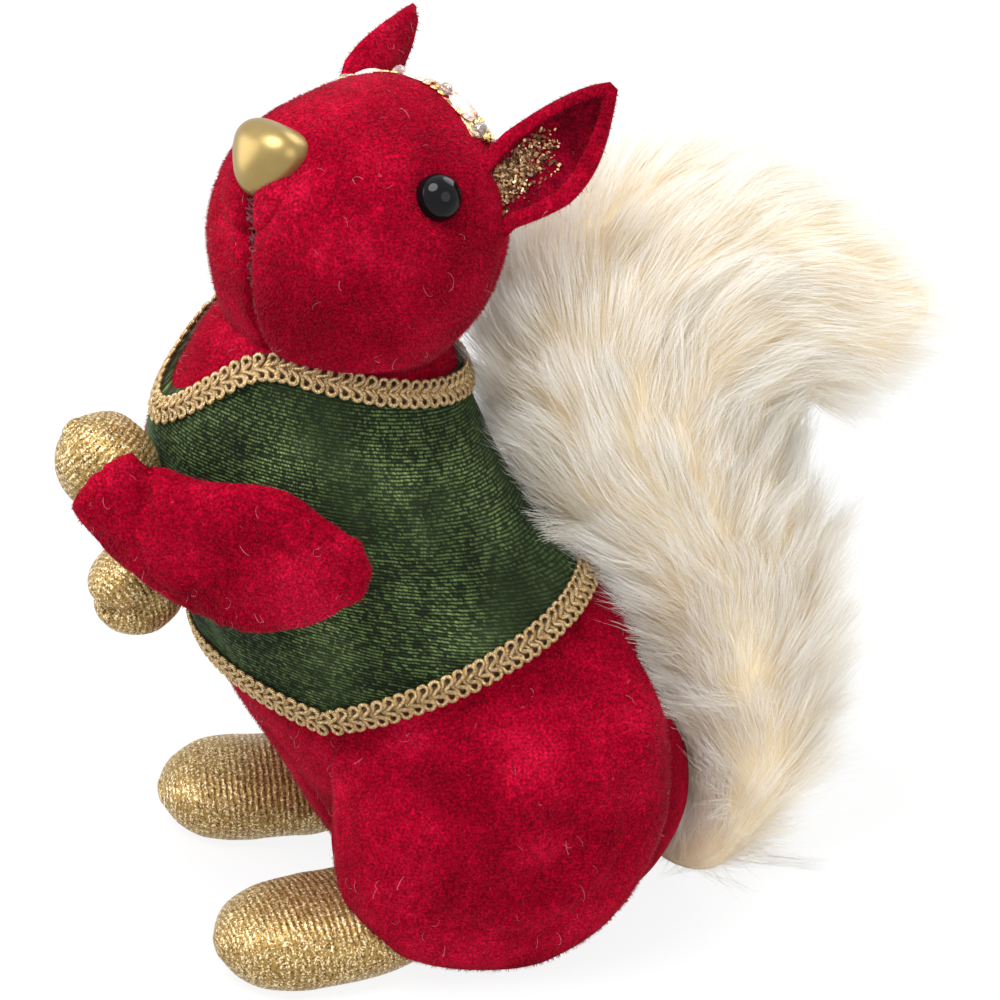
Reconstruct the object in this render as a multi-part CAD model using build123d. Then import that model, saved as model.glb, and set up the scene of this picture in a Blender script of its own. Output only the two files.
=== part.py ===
from build123d import *

import os
from math import cos, radians, sin

# Sitting velvet squirrel ornament: stuffed velvet forms with a waistcoat, braid trims, knit
# paws and feet, leaf ears, a beaded headband and a long-pile tail.
# Millimetres, +Z up, the animal faces -Y and its left is +X.
# The origin lies on the flat seat, under the body.

# Cloth, fits and seams
VELVET = 1.2
KNIT = 1.0
VEST_CLOTH = 1.4
BRAID_THICKNESS = 1.5
BRAID_WIDTH = 7.2
NECK_BRAID_SHARE = 0.70
FIT = 0.2
SEAM_GAP = 0.2
# Angles at which the quarter arcs of an oval start
QUARTER_STARTS = (45, 135, 225, 315)
STANDING = (Align.CENTER, Align.CENTER, Align.MIN)
HANGING = (Align.CENTER, Align.CENTER, Align.MAX)

# Body: sections stacked from the seat to the neck
BODY_HEIGHT = 154.0
BODY_WIDTH = 88.0
BODY_DEPTH = 99.0
# height, centre y of depth, half width of width, half depth of depth
BODY_SHARES = (
    (0.000, 0.050, 0.38, 0.30),
    (0.085, 0.045, 0.475, 0.42),
    (0.240, -0.025, 0.50, 0.475),
    (0.350, -0.110, 0.50, 0.485),
    (0.470, -0.187, 0.49, 0.500),
    (0.585, -0.295, 0.455, 0.435),
    (0.700, -0.374, 0.42, 0.390),
    (0.805, -0.402, 0.360, 0.352),
    (0.895, -0.385, 0.290, 0.297),
    (0.960, -0.384, 0.215, 0.232),
    (1.000, -0.384, 0.12, 0.110),
)
BASE_DISC = 1.5

# Waistcoat edges in side view, as shares of body depth and body height
NECKLINE_FRONT_SHARES = (-0.85, 0.745)
NECKLINE_RISE_SHARES = (-0.70, 0.868)
NECKLINE_CHEST_SHARES = (-0.60, 0.925)
NECKLINE_PEAK_SHARES = (-0.535, 0.940)
NECKLINE_SHOULDER_SHARES = (-0.46, 0.934)
NECKLINE_SIDE_SHARES = (-0.20, 0.885)
NECKLINE_BACK_SHARES = (0.10, 0.835)
HEM_FRONT_SHARES = (-0.80, 0.480)
HEM_DIP_SHARES = (-0.60, 0.418)
HEM_LOW_SHARES = (-0.455, 0.385)
HEM_SIDE_SHARES = (-0.10, 0.470)
HEM_BACK_SHARES = (0.45, 0.555)
OUTLINE_FRONT_SHARE = -1.05
OUTLINE_BACK_SHARE = 0.70

# Head: sections from the muzzle to the nape, turned towards its left and tipped up
HEAD_LENGTH = 66.0
HEAD_WIDTH = 66.0
HEAD_HEIGHT = 70.0
HEAD_RISE = 11.6
HEAD_SETBACK = 14.3
HEAD_YAW = 24.5
HEAD_PITCH = 26.0
# place along the length, centre height, half width, half height
HEAD_SHARES = (
    (-0.561, 0.021, 0.136, 0.157),
    (-0.492, -0.029, 0.295, 0.271),
    (-0.348, -0.057, 0.424, 0.400),
    (-0.167, -0.043, 0.485, 0.479),
    (0.040, -0.020, 0.490, 0.492),
    (0.225, -0.008, 0.415, 0.420),
    (0.345, 0.005, 0.265, 0.265),
    (0.410, 0.008, 0.100, 0.095),
)
CROWN_SECTION = 4
NECK_DOWEL_DIAMETER = 6.0
NECK_DOWEL_LENGTH = 70.0

# Face
NOSE_WIDTH = 24.0
NOSE_DEPTH = 12.5
NOSE_ROUNDING_SHARE = 0.22
NOSE_EDGE_SHARE = 0.42
NOSE_SINK = 4.5
NOSE_HEIGHT_SHARE = 0.12
NOSE_PEG_DIAMETER = 4.0
NOSE_PEG_LENGTH = 9.0
EYE_DIAMETER = 10.5
EYE_SINK = 0.5
EYE_PEG_DIAMETER = 2.4
EYE_PEG_LENGTH = 9.0
# side, length and height places of an eye as shares of the head
EYE_SHARES = (0.412, -0.170, 0.175)

# Ears: cupped leaves
EAR_LENGTH = 34.0
EAR_WIDTH = 22.0
EAR_CLOTH = 1.0
EAR_CUP_RADIUS = 15.0
EAR_ROOT_SHARE = 0.36
EAR_BELLY_SHARES = (0.46, 0.40)
EAR_FOLD = 1.6
EAR_SPLAY = 22.0
EAR_SWEEP = 24.0
# turn of the hollow side: the right ear faces further out than the left
EAR_TURNS = {1: 52.0, -1: 80.0}
EAR_SHARES = (0.350, 0.105, 0.255)
GLITTER_COAT = 0.5
GLITTER_REACH_SHARE = 0.62

# Headband over the crown
BAND_WIDTH = 8.0
BAND_CLOTH = 0.8
BAND_HALF_ANGLE = 37.0
STONE_LENGTH = 8.5
STONE_WIDTH = 4.6
STONE_HEIGHT = 1.9
STONE_TAPER = 30.0
STONE_ANGLES = (-23.0, 0.0, 23.0)
CRYSTAL_DIAMETER = 3.6
CRYSTAL_TAPER = 25.0
CRYSTAL_ANGLES = (-34.5, -11.5, 11.5, 34.5)
SEED_BEAD_DIAMETER = 2.2
SEED_BEAD_HEIGHT = 1.8
SEED_BEAD_BORE = 0.8
SEED_BEAD_STEP = 12.0
SEQUIN_DIAMETER = 3.4
SEQUIN_THICKNESS = 0.4
SEQUIN_ANGLES = (-30.0, -18.0, -6.0, 6.0, 18.0, 30.0)

# Haunches
THIGH_LENGTH = 75.0
THIGH_HEIGHT = 89.0
THIGH_REACH = 16.0
THIGH_INSET = 20.0
# outward place, half length, half height: the first is a share of reach and inset together
THIGH_SHARES = (
    (0.000, 0.460, 0.470),
    (0.500, 0.500, 0.500),
    (0.780, 0.455, 0.475),
    (0.940, 0.320, 0.335),
    (1.000, 0.140, 0.145),
)
THIGH_PLACE_SHARES = (-0.055, 0.285)

# Hind feet
FOOT_LENGTH = 54.0
FOOT_WIDTH = 36.0
FOOT_HEIGHT = 21.5
FOOT_TOE_OUT = 6.0
FOOT_SPREAD_SHARE = 0.415
FOOT_FORWARD = 28.5
SOLE_DEPTH_SHARE = 0.12
# place along the foot, half width, half height
FOOT_SHARES = (
    (0.000, 0.110, 0.120),
    (0.060, 0.290, 0.310),
    (0.240, 0.460, 0.475),
    (0.500, 0.500, 0.500),
    (0.800, 0.420, 0.430),
    (1.000, 0.200, 0.200),
)

# Arms: flat pads that bend up towards the wrist
ARM_LENGTH = 62.0
ARM_HEIGHT = 35.0
ARM_THICKNESS = 13.0
LEFT_ARM_RAISE = 0.0
LEFT_ARM_TOE_IN = 26.0
RIGHT_ARM_RAISE = -62.0
RIGHT_ARM_TOE_IN = 33.0
# forward and upward place of length, half height, half thickness
ARM_SHARES = (
    (-0.390, 0.000, 0.200, 0.320),
    (-0.190, 0.000, 0.445, 0.470),
    (0.120, 0.005, 0.485, 0.500),
    (0.390, 0.125, 0.375, 0.450),
    (0.535, 0.262, 0.250, 0.340),
)
# share of the wrist's rise: the right arm hangs straighter than the left
WRIST_BENDS = {1: 1.0, -1: 0.45}
# outward, forward and upward place of a shoulder as shares of the body
LEFT_SHOULDER_SHARES = (0.385, -0.625, 0.676)
RIGHT_SHOULDER_SHARES = (0.47, -0.590, 0.630)
ARM_POSES = {
    1: (LEFT_SHOULDER_SHARES, LEFT_ARM_RAISE, LEFT_ARM_TOE_IN),
    -1: (RIGHT_SHOULDER_SHARES, RIGHT_ARM_RAISE, RIGHT_ARM_TOE_IN),
}
PAW_LENGTH = 24.0
PAW_DIAMETER = 22.0
PAW_INWARD = 9.0
PAW_TILT = 46.0
# forward and upward place of a paw's root as shares of the arm's length
PAW_ROOT_SHARES = (0.41, 0.10)
# place along the paw, half diameter
PAW_SHARES = (
    (0.000, 0.240),
    (0.330, 0.490),
    (0.700, 0.470),
    (1.000, 0.160),
)

# Tail: fanned sections along an S
TAIL_HEIGHT = 172.0
TAIL_DEPTH = 100.0
TAIL_WIDTH = 58.0
TAIL_SETBACK = 8.0
TAIL_LIFT = 0.8
TAIL_CORE_SHARE = 0.42
TAIL_WIRE_DIAMETER = 2.4
WIRE_BEND_SHARE = 0.45
# y of depth, z of height, turn back from upright, half depth of depth, half width of width
TAIL_SHARES = (
    (-0.015, 0.000, 0.0, 0.110, 0.30),
    (0.110, 0.100, 0.0, 0.160, 0.37),
    (0.102, 0.279, 0.0, 0.248, 0.44),
    (0.000, 0.465, 0.0, 0.325, 0.49),
    (-0.110, 0.581, 4.0, 0.375, 0.50),
    (-0.110, 0.779, 34.0, 0.405, 0.50),
    (0.030, 0.830, 58.0, 0.370, 0.49),
    (0.260, 0.794, 86.0, 0.245, 0.40),
    (0.415, 0.750, 94.0, 0.160, 0.27),
    (0.515, 0.703, 100.0, 0.040, 0.07),
)
TAIL_SPANS = ((0, 5), (4, 7), (6, 10))
TAIL_CORE_SPANS = ((1, 5), (4, 7))
TAIL_WIRE_STOPS = (1, 2, 4, 5)


def oval(plane, half_x, half_y):
    """Elliptical face on a plane, of four quarter arcs that meet between its axes."""
    arcs = []
    for start in QUARTER_STARTS:
        arcs.append(EllipticalCenterArc((0, 0), half_x, half_y, start, arc_size=90))
    return plane * make_face(arcs)


def stuffed(sections, grow=0.0, spans=None):
    """Swelling form lofted through (plane, half x, half y) sections, all sides moved out by grow.

    A form that turns sharply is lofted span by span, each span sharing a section with the next.
    """
    spans = spans or ((0, len(sections)),)
    first, last = spans[0][0], spans[-1][1] - 1
    faces = []
    for index, (plane, half_x, half_y) in enumerate(sections):
        push = -grow if index == first else grow if index == last else 0
        faces.append(oval(plane.offset(push), half_x + grow, half_y + grow))
    form = loft(faces[spans[0][0] : spans[0][1]])
    for start, stop in spans[1:]:
        form += loft(faces[start:stop])
    return form


def floor_cut(form, level=0.0):
    """The part of a form that lies above a level."""
    return split(form, Plane.XY.offset(level), Keep.TOP)


def body_section(index):
    """Centre y, height, half width and half depth of one body section."""
    z, y, half_x, half_y = BODY_SHARES[index]
    return y * BODY_DEPTH, z * BODY_HEIGHT, half_x * BODY_WIDTH, half_y * BODY_DEPTH


def body_form(grow=0.0):
    """Body from the flat seat to the neck."""
    sections = []
    for index in range(len(BODY_SHARES)):
        y, z, half_x, half_y = body_section(index)
        sections.append((Plane((0, y, z)), half_x, half_y))
    return stuffed(sections, grow)


def head_plane():
    """Frame of the head: its own -Y looks out of the face."""
    neck_y, neck_z = body_section(-1)[:2]
    centre = (0, neck_y + HEAD_SETBACK, neck_z + HEAD_RISE)
    return Plane(Location(centre, (0, 0, HEAD_YAW)) * Location((0, 0, 0), (-HEAD_PITCH, 0, 0)))


def head_section(index):
    """Place, centre height, half width and half height of one head section."""
    y, z, half_x, half_z = HEAD_SHARES[index]
    return y * HEAD_LENGTH, z * HEAD_HEIGHT, half_x * HEAD_WIDTH, half_z * HEAD_HEIGHT


def head_form(grow=0.0):
    """Head in its own frame, from the muzzle to the nape."""
    sections = []
    for index in range(len(HEAD_SHARES)):
        y, z, half_x, half_z = head_section(index)
        plane = Plane((0, y, z), x_dir=(-1, 0, 0), z_dir=(0, 1, 0))
        sections.append((plane, half_x, half_z))
    return stuffed(sections, grow)


def side_point(shares):
    """Point of the side view from shares of body depth and height."""
    return shares[0] * BODY_DEPTH, shares[1] * BODY_HEIGHT


def vest_outline():
    """Side view of the waistcoat, running past the chest and the back."""
    neck_front = side_point(NECKLINE_FRONT_SHARES)
    neck_chest = side_point(NECKLINE_CHEST_SHARES)
    neck_shoulder = side_point(NECKLINE_SHOULDER_SHARES)
    neck_back = side_point(NECKLINE_BACK_SHARES)
    hem_front = side_point(HEM_FRONT_SHARES)
    hem_low = side_point(HEM_LOW_SHARES)
    hem_back = side_point(HEM_BACK_SHARES)
    ahead = OUTLINE_FRONT_SHARE * BODY_DEPTH
    behind = OUTLINE_BACK_SHARE * BODY_DEPTH
    edges = [
        ThreePointArc(neck_front, side_point(NECKLINE_RISE_SHARES), neck_chest),
        ThreePointArc(neck_chest, side_point(NECKLINE_PEAK_SHARES), neck_shoulder),
        ThreePointArc(neck_shoulder, side_point(NECKLINE_SIDE_SHARES), neck_back),
        Polyline(neck_back, (behind, neck_back[1]), (behind, hem_back[1]), hem_back),
        ThreePointArc(hem_back, side_point(HEM_SIDE_SHARES), hem_low),
        ThreePointArc(hem_low, side_point(HEM_DIP_SHARES), hem_front),
        Polyline(hem_front, (ahead, hem_front[1]), (ahead, neck_front[1]), neck_front),
    ]
    return make_face(edges)


def across(face):
    """Side-view face run right across the body."""
    return extrude(Plane.YZ * face, BODY_WIDTH, both=True)


def shell_between(form, inner, outer):
    """Layer of a form between two distances from its surface."""
    return form(outer) - form(inner)


def halves(shell, plane):
    """Left and right halves of a cover, parted by the seam."""
    left = split(shell, plane.offset(SEAM_GAP / 2), Keep.TOP)
    right = split(shell, plane.offset(-SEAM_GAP / 2), Keep.BOTTOM)
    return left, right


def largest(shape):
    """The main piece of a cut, without stray corners."""
    return shape.solids().sort_by(SortBy.VOLUME)[-1]


def save(name, shape):
    """Write one node."""
    export_step(shape, f"parts/{name}.step")


def build_body(dowel_hole):
    """Body core, seat disc, seat panel and the two halves of the velvet cover."""
    inside = body_form(-VELVET - FIT)
    seat_level = VELVET + FIT
    save("base_disc", inside - floor_cut(inside, seat_level + BASE_DISC))
    save("body_core", floor_cut(inside, seat_level + BASE_DISC + FIT) - dowel_hole)
    shell = shell_between(body_form, -VELVET, 0) - dowel_hole
    save("seat_panel", shell - floor_cut(shell, VELVET - SEAM_GAP))
    shell = floor_cut(shell, VELVET)
    for side, half in zip(("left", "right"), halves(shell, Plane.YZ)):
        save(f"body_cover_{side}", half)


def build_vest(head):
    """Waistcoat and its two braids, all worked from the body form."""
    outline = vest_outline()
    cloth_outside = FIT + VEST_CLOTH
    save("vest", (shell_between(body_form, FIT, cloth_outside) & across(outline)) - head)
    trim = shell_between(body_form, cloth_outside + FIT, cloth_outside + FIT + BRAID_THICKNESS)
    rings = {}
    neck_width = NECK_BRAID_SHARE * BRAID_WIDTH
    for name, width, pick in (("hem", BRAID_WIDTH, 0), ("neck", neck_width, -1)):
        edge = across(outline - offset(outline, -width))
        rings[name] = (trim & edge).solids().sort_by(Axis.Z)[pick]
    save("vest_hem_braid", rings["hem"])
    save("vest_neck_braid", rings["neck"] - head)
    return body_form(cloth_outside + BRAID_THICKNESS + FIT + FIT) & across(offset(outline, FIT))


def dowel(grow=0.0):
    """Round stick that joins head and body, along the line to the head's centre."""
    chest_y, chest_z = body_section(-4)[:2]
    start = Vector(0, chest_y, chest_z)
    direction = head_plane().origin - start
    length = NECK_DOWEL_LENGTH + 2 * grow
    stick = Cylinder(NECK_DOWEL_DIAMETER / 2 + grow, length, align=STANDING)
    return Plane(start, z_dir=direction) * stick


def nose_plane():
    """Seat of the nose on the tip of the muzzle."""
    y = head_section(0)[0]
    return Plane((0, y, NOSE_HEIGHT_SHARE * HEAD_HEIGHT), x_dir=(1, 0, 0), z_dir=(0, -1, 0))


def nose_form(grow=0.0):
    """Cushion-shaped nose, a rounded triangle with its point down, on a peg."""
    circle = NOSE_WIDTH / 3 ** 0.5 + grow
    triangle = RegularPolygon(circle, 3, rotation=-90)
    triangle = fillet(triangle.vertices(), NOSE_ROUNDING_SHARE * NOSE_WIDTH)
    pad = extrude(triangle, NOSE_DEPTH + grow)
    pad = fillet(pad.edges().group_by(Axis.Z)[-1], NOSE_EDGE_SHARE * NOSE_DEPTH)
    pad = Pos(0, 0, -NOSE_SINK - grow) * pad
    peg = Cylinder(NOSE_PEG_DIAMETER / 2 + grow, NOSE_PEG_LENGTH + grow, align=HANGING)
    return nose_plane() * (pad + Pos(0, 0, -NOSE_SINK) * peg)


def eye_form(side, grow=0.0):
    """Ball eye sunk in the cheek, with its peg pointing at the middle of the head."""
    x, y, z = EYE_SHARES
    seat = Vector(side * x * HEAD_WIDTH, y * HEAD_LENGTH, z * HEAD_HEIGHT)
    middle = Vector(0, seat.Y, 0)
    ball = Sphere(EYE_DIAMETER / 2 + grow)
    peg = Cylinder(EYE_PEG_DIAMETER / 2 + grow, EYE_PEG_LENGTH + grow, align=HANGING)
    out = Plane(seat, z_dir=seat - middle)
    return out.offset(-EYE_SINK) * (ball + peg)


def build_head(body):
    """Head core and cover, nose and eyes."""
    place = head_plane().location
    sockets = nose_form(FIT) + eye_form(1, FIT) + eye_form(-1, FIT)
    dowel_hole = dowel(FIT)
    core = place * (head_form(-VELVET - FIT) - sockets)
    save("head_core", core - body - dowel_hole)
    shell = shell_between(head_form, -VELVET, 0) - sockets
    for side, half in zip(("left", "right"), halves(shell, Plane.YZ)):
        save(f"head_cover_{side}", place * half - body - dowel_hole)
    save("nose", place * nose_form())
    save("eye_left", place * eye_form(1))
    save("eye_right", place * eye_form(-1))
    save("neck_dowel", dowel())


def leaf(margin=0.0):
    """Leaf outline of an ear, root at the origin and tip up."""
    root = EAR_ROOT_SHARE * EAR_WIDTH - margin
    belly = EAR_BELLY_SHARES[0] * EAR_WIDTH - margin
    belly_height = EAR_BELLY_SHARES[1] * EAR_LENGTH
    tip = (0, EAR_LENGTH - 2 * margin)
    edges = [
        Line((-root, 0), (root, 0)),
        ThreePointArc((root, 0), (belly, belly_height), tip),
        ThreePointArc(tip, (-belly, belly_height), (-root, 0)),
    ]
    return make_face(edges)


def cupped(face, inner, outer):
    """Leaf-shaped piece of a cup wall between two radii, hollow side towards +Y."""
    post = extrude(Plane.XZ * face, outer)
    wall = Cylinder(outer, EAR_LENGTH, align=STANDING) - Cylinder(inner, EAR_LENGTH, align=STANDING)
    return post & wall


def ear_location(side):
    """Root of an ear on the head, leaning out and back, hollow side turned outwards."""
    x, y, z = EAR_SHARES
    root = (side * x * HEAD_WIDTH, y * HEAD_LENGTH, z * HEAD_HEIGHT)
    lean = Location(root, (-EAR_SWEEP, 0, 0)) * Location((0, 0, 0), (0, side * EAR_SPLAY, 0))
    return lean * Location((0, 0, 0), (0, 0, 180 + side * EAR_TURNS[side])) * Pos(0, EAR_CUP_RADIUS, 0)


def build_ears():
    """Back panel, lining and glitter coat of each ear, all ending on the head."""
    head = head_form(FIT)
    back_inner = EAR_CUP_RADIUS
    lining_outer = back_inner - FIT
    lining_inner = lining_outer - EAR_CLOTH
    coat_outer = lining_inner - FIT
    panels = {
        "back": cupped(leaf(), back_inner, back_inner + EAR_CLOTH),
        "lining": cupped(leaf(EAR_FOLD), lining_inner, lining_outer),
        "glitter": cupped(leaf(EAR_FOLD + EAR_FOLD), coat_outer - GLITTER_COAT, coat_outer),
    }
    lower = split(panels["glitter"], Plane.XY.offset(GLITTER_REACH_SHARE * EAR_LENGTH), Keep.BOTTOM)
    panels["glitter"] = lower
    for name, side in (("left", 1), ("right", -1)):
        for panel, shape in panels.items():
            seated = largest(ear_location(side) * shape - head)
            save(f"ear_{name}_{panel}", head_plane().location * seated)


def crown_place(angle, rise):
    """Frame standing on the crown at an angle from the top, lifted by rise."""
    y, z, half_x, half_z = head_section(CROWN_SECTION)
    turn = radians(angle)
    foot = Vector(half_x * sin(turn), y, z + half_z * cos(turn))
    normal = Vector(sin(turn) / half_x, 0, cos(turn) / half_z).normalized()
    return Plane(foot + normal * rise, x_dir=(cos(turn) / half_z, 0, -sin(turn) / half_x), z_dir=normal)


def build_headband():
    """Ribbon over the crown with its rows of stones, crystals, seed beads and sequins."""
    place = head_plane().location
    y = head_section(CROWN_SECTION)[0]
    sheet = Plane((0, y, 0), z_dir=(0, 1, 0)) * Rectangle(2 * HEAD_WIDTH, 2 * HEAD_HEIGHT)
    slab = extrude(sheet, BAND_WIDTH / 2, both=True)
    slab = floor_cut(slab, crown_place(BAND_HALF_ANGLE, 0).origin.Z)
    save("headband_ribbon", place * (shell_between(head_form, FIT, FIT + BAND_CLOTH) & slab))
    seat = FIT + BAND_CLOTH + FIT
    front_row = (BAND_WIDTH - STONE_WIDTH) / 2
    rear_row = (SEQUIN_DIAMETER - BAND_WIDTH) / 2
    stone_outline = make_face(Ellipse(STONE_LENGTH / 2, STONE_WIDTH / 2).edge())
    stone = extrude(stone_outline, STONE_HEIGHT, taper=STONE_TAPER)
    crystal_outline = RegularPolygon(CRYSTAL_DIAMETER / 2, 6)
    crystal = extrude(crystal_outline, CRYSTAL_DIAMETER / 2, taper=CRYSTAL_TAPER)
    seed = extrude(RegularPolygon(SEED_BEAD_DIAMETER / 2, 8), SEED_BEAD_HEIGHT)
    seed -= extrude(RegularPolygon(SEED_BEAD_BORE / 2, 6), SEED_BEAD_HEIGHT)
    sequin = extrude(RegularPolygon(SEQUIN_DIAMETER / 2, 12), SEQUIN_THICKNESS)
    count = int(BAND_HALF_ANGLE / SEED_BEAD_STEP)
    seed_angles = [SEED_BEAD_STEP * step for step in range(-count, count + 1)]
    groups = {
        "stones": (stone, STONE_ANGLES, front_row),
        "crystals": (crystal, CRYSTAL_ANGLES, front_row),
        "gold_beads": (seed, seed_angles, rear_row),
        "sequins": (sequin, SEQUIN_ANGLES, rear_row),
    }
    for name, (shape, angles, shift) in groups.items():
        pieces = []
        for angle in angles:
            pieces.append(place * crown_place(angle, seat).location * Pos(0, shift, 0) * shape)
        save(f"headband_{name}", Compound(children=pieces))


def thigh_form(side, grow=0.0):
    """Rounded haunch that swells out of the body's side."""
    inner = BODY_WIDTH / 2 - THIGH_INSET
    centre_y = THIGH_PLACE_SHARES[0] * BODY_DEPTH
    centre_z = THIGH_PLACE_SHARES[1] * BODY_HEIGHT
    sections = []
    for x, half_y, half_z in THIGH_SHARES:
        outward = inner + x * (THIGH_INSET + THIGH_REACH)
        plane = Plane((side * outward, centre_y, centre_z), x_dir=(0, side, 0), z_dir=(side, 0, 0))
        sections.append((plane, half_y * THIGH_LENGTH, half_z * THIGH_HEIGHT))
    return stuffed(sections, grow)


def foot_form(side, grow=0.0):
    """Egg-shaped foot that reaches forward from the haunch."""
    toe_y = THIGH_PLACE_SHARES[0] * BODY_DEPTH - THIGH_LENGTH / 2 - FOOT_FORWARD
    centre_z = (0.5 - SOLE_DEPTH_SHARE) * FOOT_HEIGHT
    toe = (side * FOOT_SPREAD_SHARE * BODY_WIDTH, toe_y, centre_z)
    place = Location(toe, (0, 0, side * FOOT_TOE_OUT))
    sections = []
    for y, half_x, half_z in FOOT_SHARES:
        plane = Plane((0, y * FOOT_LENGTH, 0), x_dir=(-1, 0, 0), z_dir=(0, 1, 0))
        sections.append((Plane(place * plane.location), half_x * FOOT_WIDTH, half_z * FOOT_HEIGHT))
    return stuffed(sections, grow)


def arm_location(side):
    """Shoulder frame: +X forward along the arm and +Y up."""
    shoulder, raised, toe_in = ARM_POSES[side]
    point = (side * shoulder[0] * BODY_WIDTH, shoulder[1] * BODY_DEPTH, shoulder[2] * BODY_HEIGHT)
    turn = radians(toe_in)
    forward = (-side * sin(turn), -cos(turn), 0)
    plane = Plane(point, x_dir=forward, z_dir=(-cos(turn), side * sin(turn), 0))
    return plane.location * Location((0, 0, 0), (0, 0, raised))


def arm_form(side, grow=0.0):
    """Flat stuffed arm, widest past the elbow, that rises towards the wrist."""
    sections = []
    for forward, up, half_height, half_thickness in ARM_SHARES:
        along = Location((forward * ARM_LENGTH, WRIST_BENDS[side] * up * ARM_LENGTH, 0))
        plane = Plane(arm_location(side) * along * Plane.YZ.location)
        sections.append((plane, half_height * ARM_HEIGHT, half_thickness * ARM_THICKNESS))
    return stuffed(sections, grow)


def paw_form(side, grow=0.0):
    """Round paw that comes out of the sleeve's inner side and points up along the wrist."""
    forward, up = PAW_ROOT_SHARES
    root = Location((forward * ARM_LENGTH, up * ARM_LENGTH, side * PAW_INWARD), (0, 0, PAW_TILT))
    sections = []
    for along, half in PAW_SHARES:
        place = arm_location(side) * root * Location((along * PAW_LENGTH, 0, 0))
        plane = Plane(place * Plane.YZ.location)
        sections.append((plane, half * PAW_DIAMETER, half * PAW_DIAMETER))
    return stuffed(sections, grow)


def build_limb(name, form, cloth, cuts, level=None):
    """Core and cover of a stuffed limb, cut back by the larger pieces beside it."""
    outer, lining, core = form(0), form(-cloth), form(-cloth - FIT)
    if level is not None:
        outer = floor_cut(outer, level)
        lining = floor_cut(lining, level + cloth)
        core = floor_cut(core, level + cloth + FIT)
    cover = outer - lining
    for cut in cuts:
        cover -= cut
        core -= cut
    save(f"{name}_cover", largest(cover))
    save(f"{name}_core", largest(core))


def build_limbs(body, vest_block):
    """Haunches, hind feet, arms and paws on both sides."""
    beyond_hem = across(offset(vest_outline(), FIT))
    for name, side in (("left", 1), ("right", -1)):
        thigh = thigh_form(side, FIT)
        arm = arm_form(side, FIT)
        build_limb(f"thigh_{name}", lambda grow: thigh_form(side, grow), VELVET, [body, beyond_hem], 0)
        build_limb(f"foot_{name}", lambda grow: foot_form(side, grow), KNIT, [body, thigh], 0)
        build_limb(f"arm_{name}", lambda grow: arm_form(side, grow), VELVET, [vest_block])
        build_limb(f"paw_{name}", lambda grow: paw_form(side, grow), KNIT, [arm, vest_block])


def tail_anchor():
    """Where the tail starts, behind the widest part of the back."""
    y, z, half_x, half_y = body_section(2)
    return y + half_y + TAIL_SETBACK


def tail_form(spans, share=1.0, grow=0.0):
    """Tail as fanned sections along its S, whole or as the core inside it."""
    sections = []
    for y, z, turn, half_y, half_x in TAIL_SHARES:
        angle = radians(turn)
        origin = (0, tail_anchor() + y * TAIL_DEPTH, TAIL_LIFT + z * TAIL_HEIGHT)
        plane = Plane(origin, x_dir=(1, 0, 0), z_dir=(0, sin(angle), cos(angle)))
        sections.append((plane, share * half_x * TAIL_WIDTH, share * half_y * TAIL_DEPTH))
    return stuffed(sections, grow, spans)


def tail_wire(grow=0.0):
    """Bent wire up the middle of the tail."""
    stops = []
    for index in TAIL_WIRE_STOPS:
        y, z = TAIL_SHARES[index][:2]
        stops.append(Vector(0, tail_anchor() + y * TAIL_DEPTH, TAIL_LIFT + z * TAIL_HEIGHT))
    radii = []
    for before, here, after in zip(stops, stops[1:], stops[2:]):
        half_turn = radians((here - before).get_angle(after - here) / 2)
        shorter = min((here - before).length, (after - here).length)
        radii.append(WIRE_BEND_SHARE * shorter * cos(half_turn) / sin(half_turn))
    path = FilletPolyline(*stops, radius=radii)
    start = Plane(path @ 0, z_dir=path % 0)
    return sweep(start * Circle(TAIL_WIRE_DIAMETER / 2 + grow), path=path)


def build_tail(body, vest_block, head):
    """Tail fur, its stuffed core and the wire inside."""
    fur = floor_cut(tail_form(TAIL_SPANS)) - tail_form(TAIL_CORE_SPANS, TAIL_CORE_SHARE, FIT)
    for cut in (body, vest_block, head, thigh_form(1, FIT), thigh_form(-1, FIT)):
        fur -= cut
    save("tail_fur", largest(fur))
    core = tail_form(TAIL_CORE_SPANS, TAIL_CORE_SHARE) - body
    save("tail_core", largest(core - tail_wire(FIT)))
    save("tail_wire", tail_wire())


def main():
    """Build every node and write it."""
    os.makedirs("parts", exist_ok=True)
    body = body_form(FIT)
    head = head_plane().location * head_form(FIT)
    build_body(dowel(FIT))
    vest_block = build_vest(head)
    build_head(body)
    build_ears()
    build_headband()
    build_limbs(body, vest_block)
    build_tail(body, vest_block, head)


main()
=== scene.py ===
import logging
import math
from dataclasses import dataclass, field
from enum import Enum

import bmesh
import bpy
import numpy as np
from mathutils import Matrix, Vector


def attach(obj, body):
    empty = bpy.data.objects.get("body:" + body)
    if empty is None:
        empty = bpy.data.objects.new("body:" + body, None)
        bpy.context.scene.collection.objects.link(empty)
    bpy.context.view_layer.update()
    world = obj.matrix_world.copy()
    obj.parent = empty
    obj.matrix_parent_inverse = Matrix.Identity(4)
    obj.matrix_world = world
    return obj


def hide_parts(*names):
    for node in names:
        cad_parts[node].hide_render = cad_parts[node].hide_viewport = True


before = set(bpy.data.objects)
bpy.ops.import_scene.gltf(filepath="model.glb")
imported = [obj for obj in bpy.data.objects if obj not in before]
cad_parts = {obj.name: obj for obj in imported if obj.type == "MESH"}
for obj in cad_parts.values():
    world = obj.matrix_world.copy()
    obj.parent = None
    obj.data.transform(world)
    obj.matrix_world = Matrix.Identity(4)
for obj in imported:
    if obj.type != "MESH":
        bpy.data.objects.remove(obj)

LOG = logging.getLogger("squirrel")
ROOT = "root"
MM = 0.001
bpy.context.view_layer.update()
NAP_LENGTH = 0.8
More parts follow.
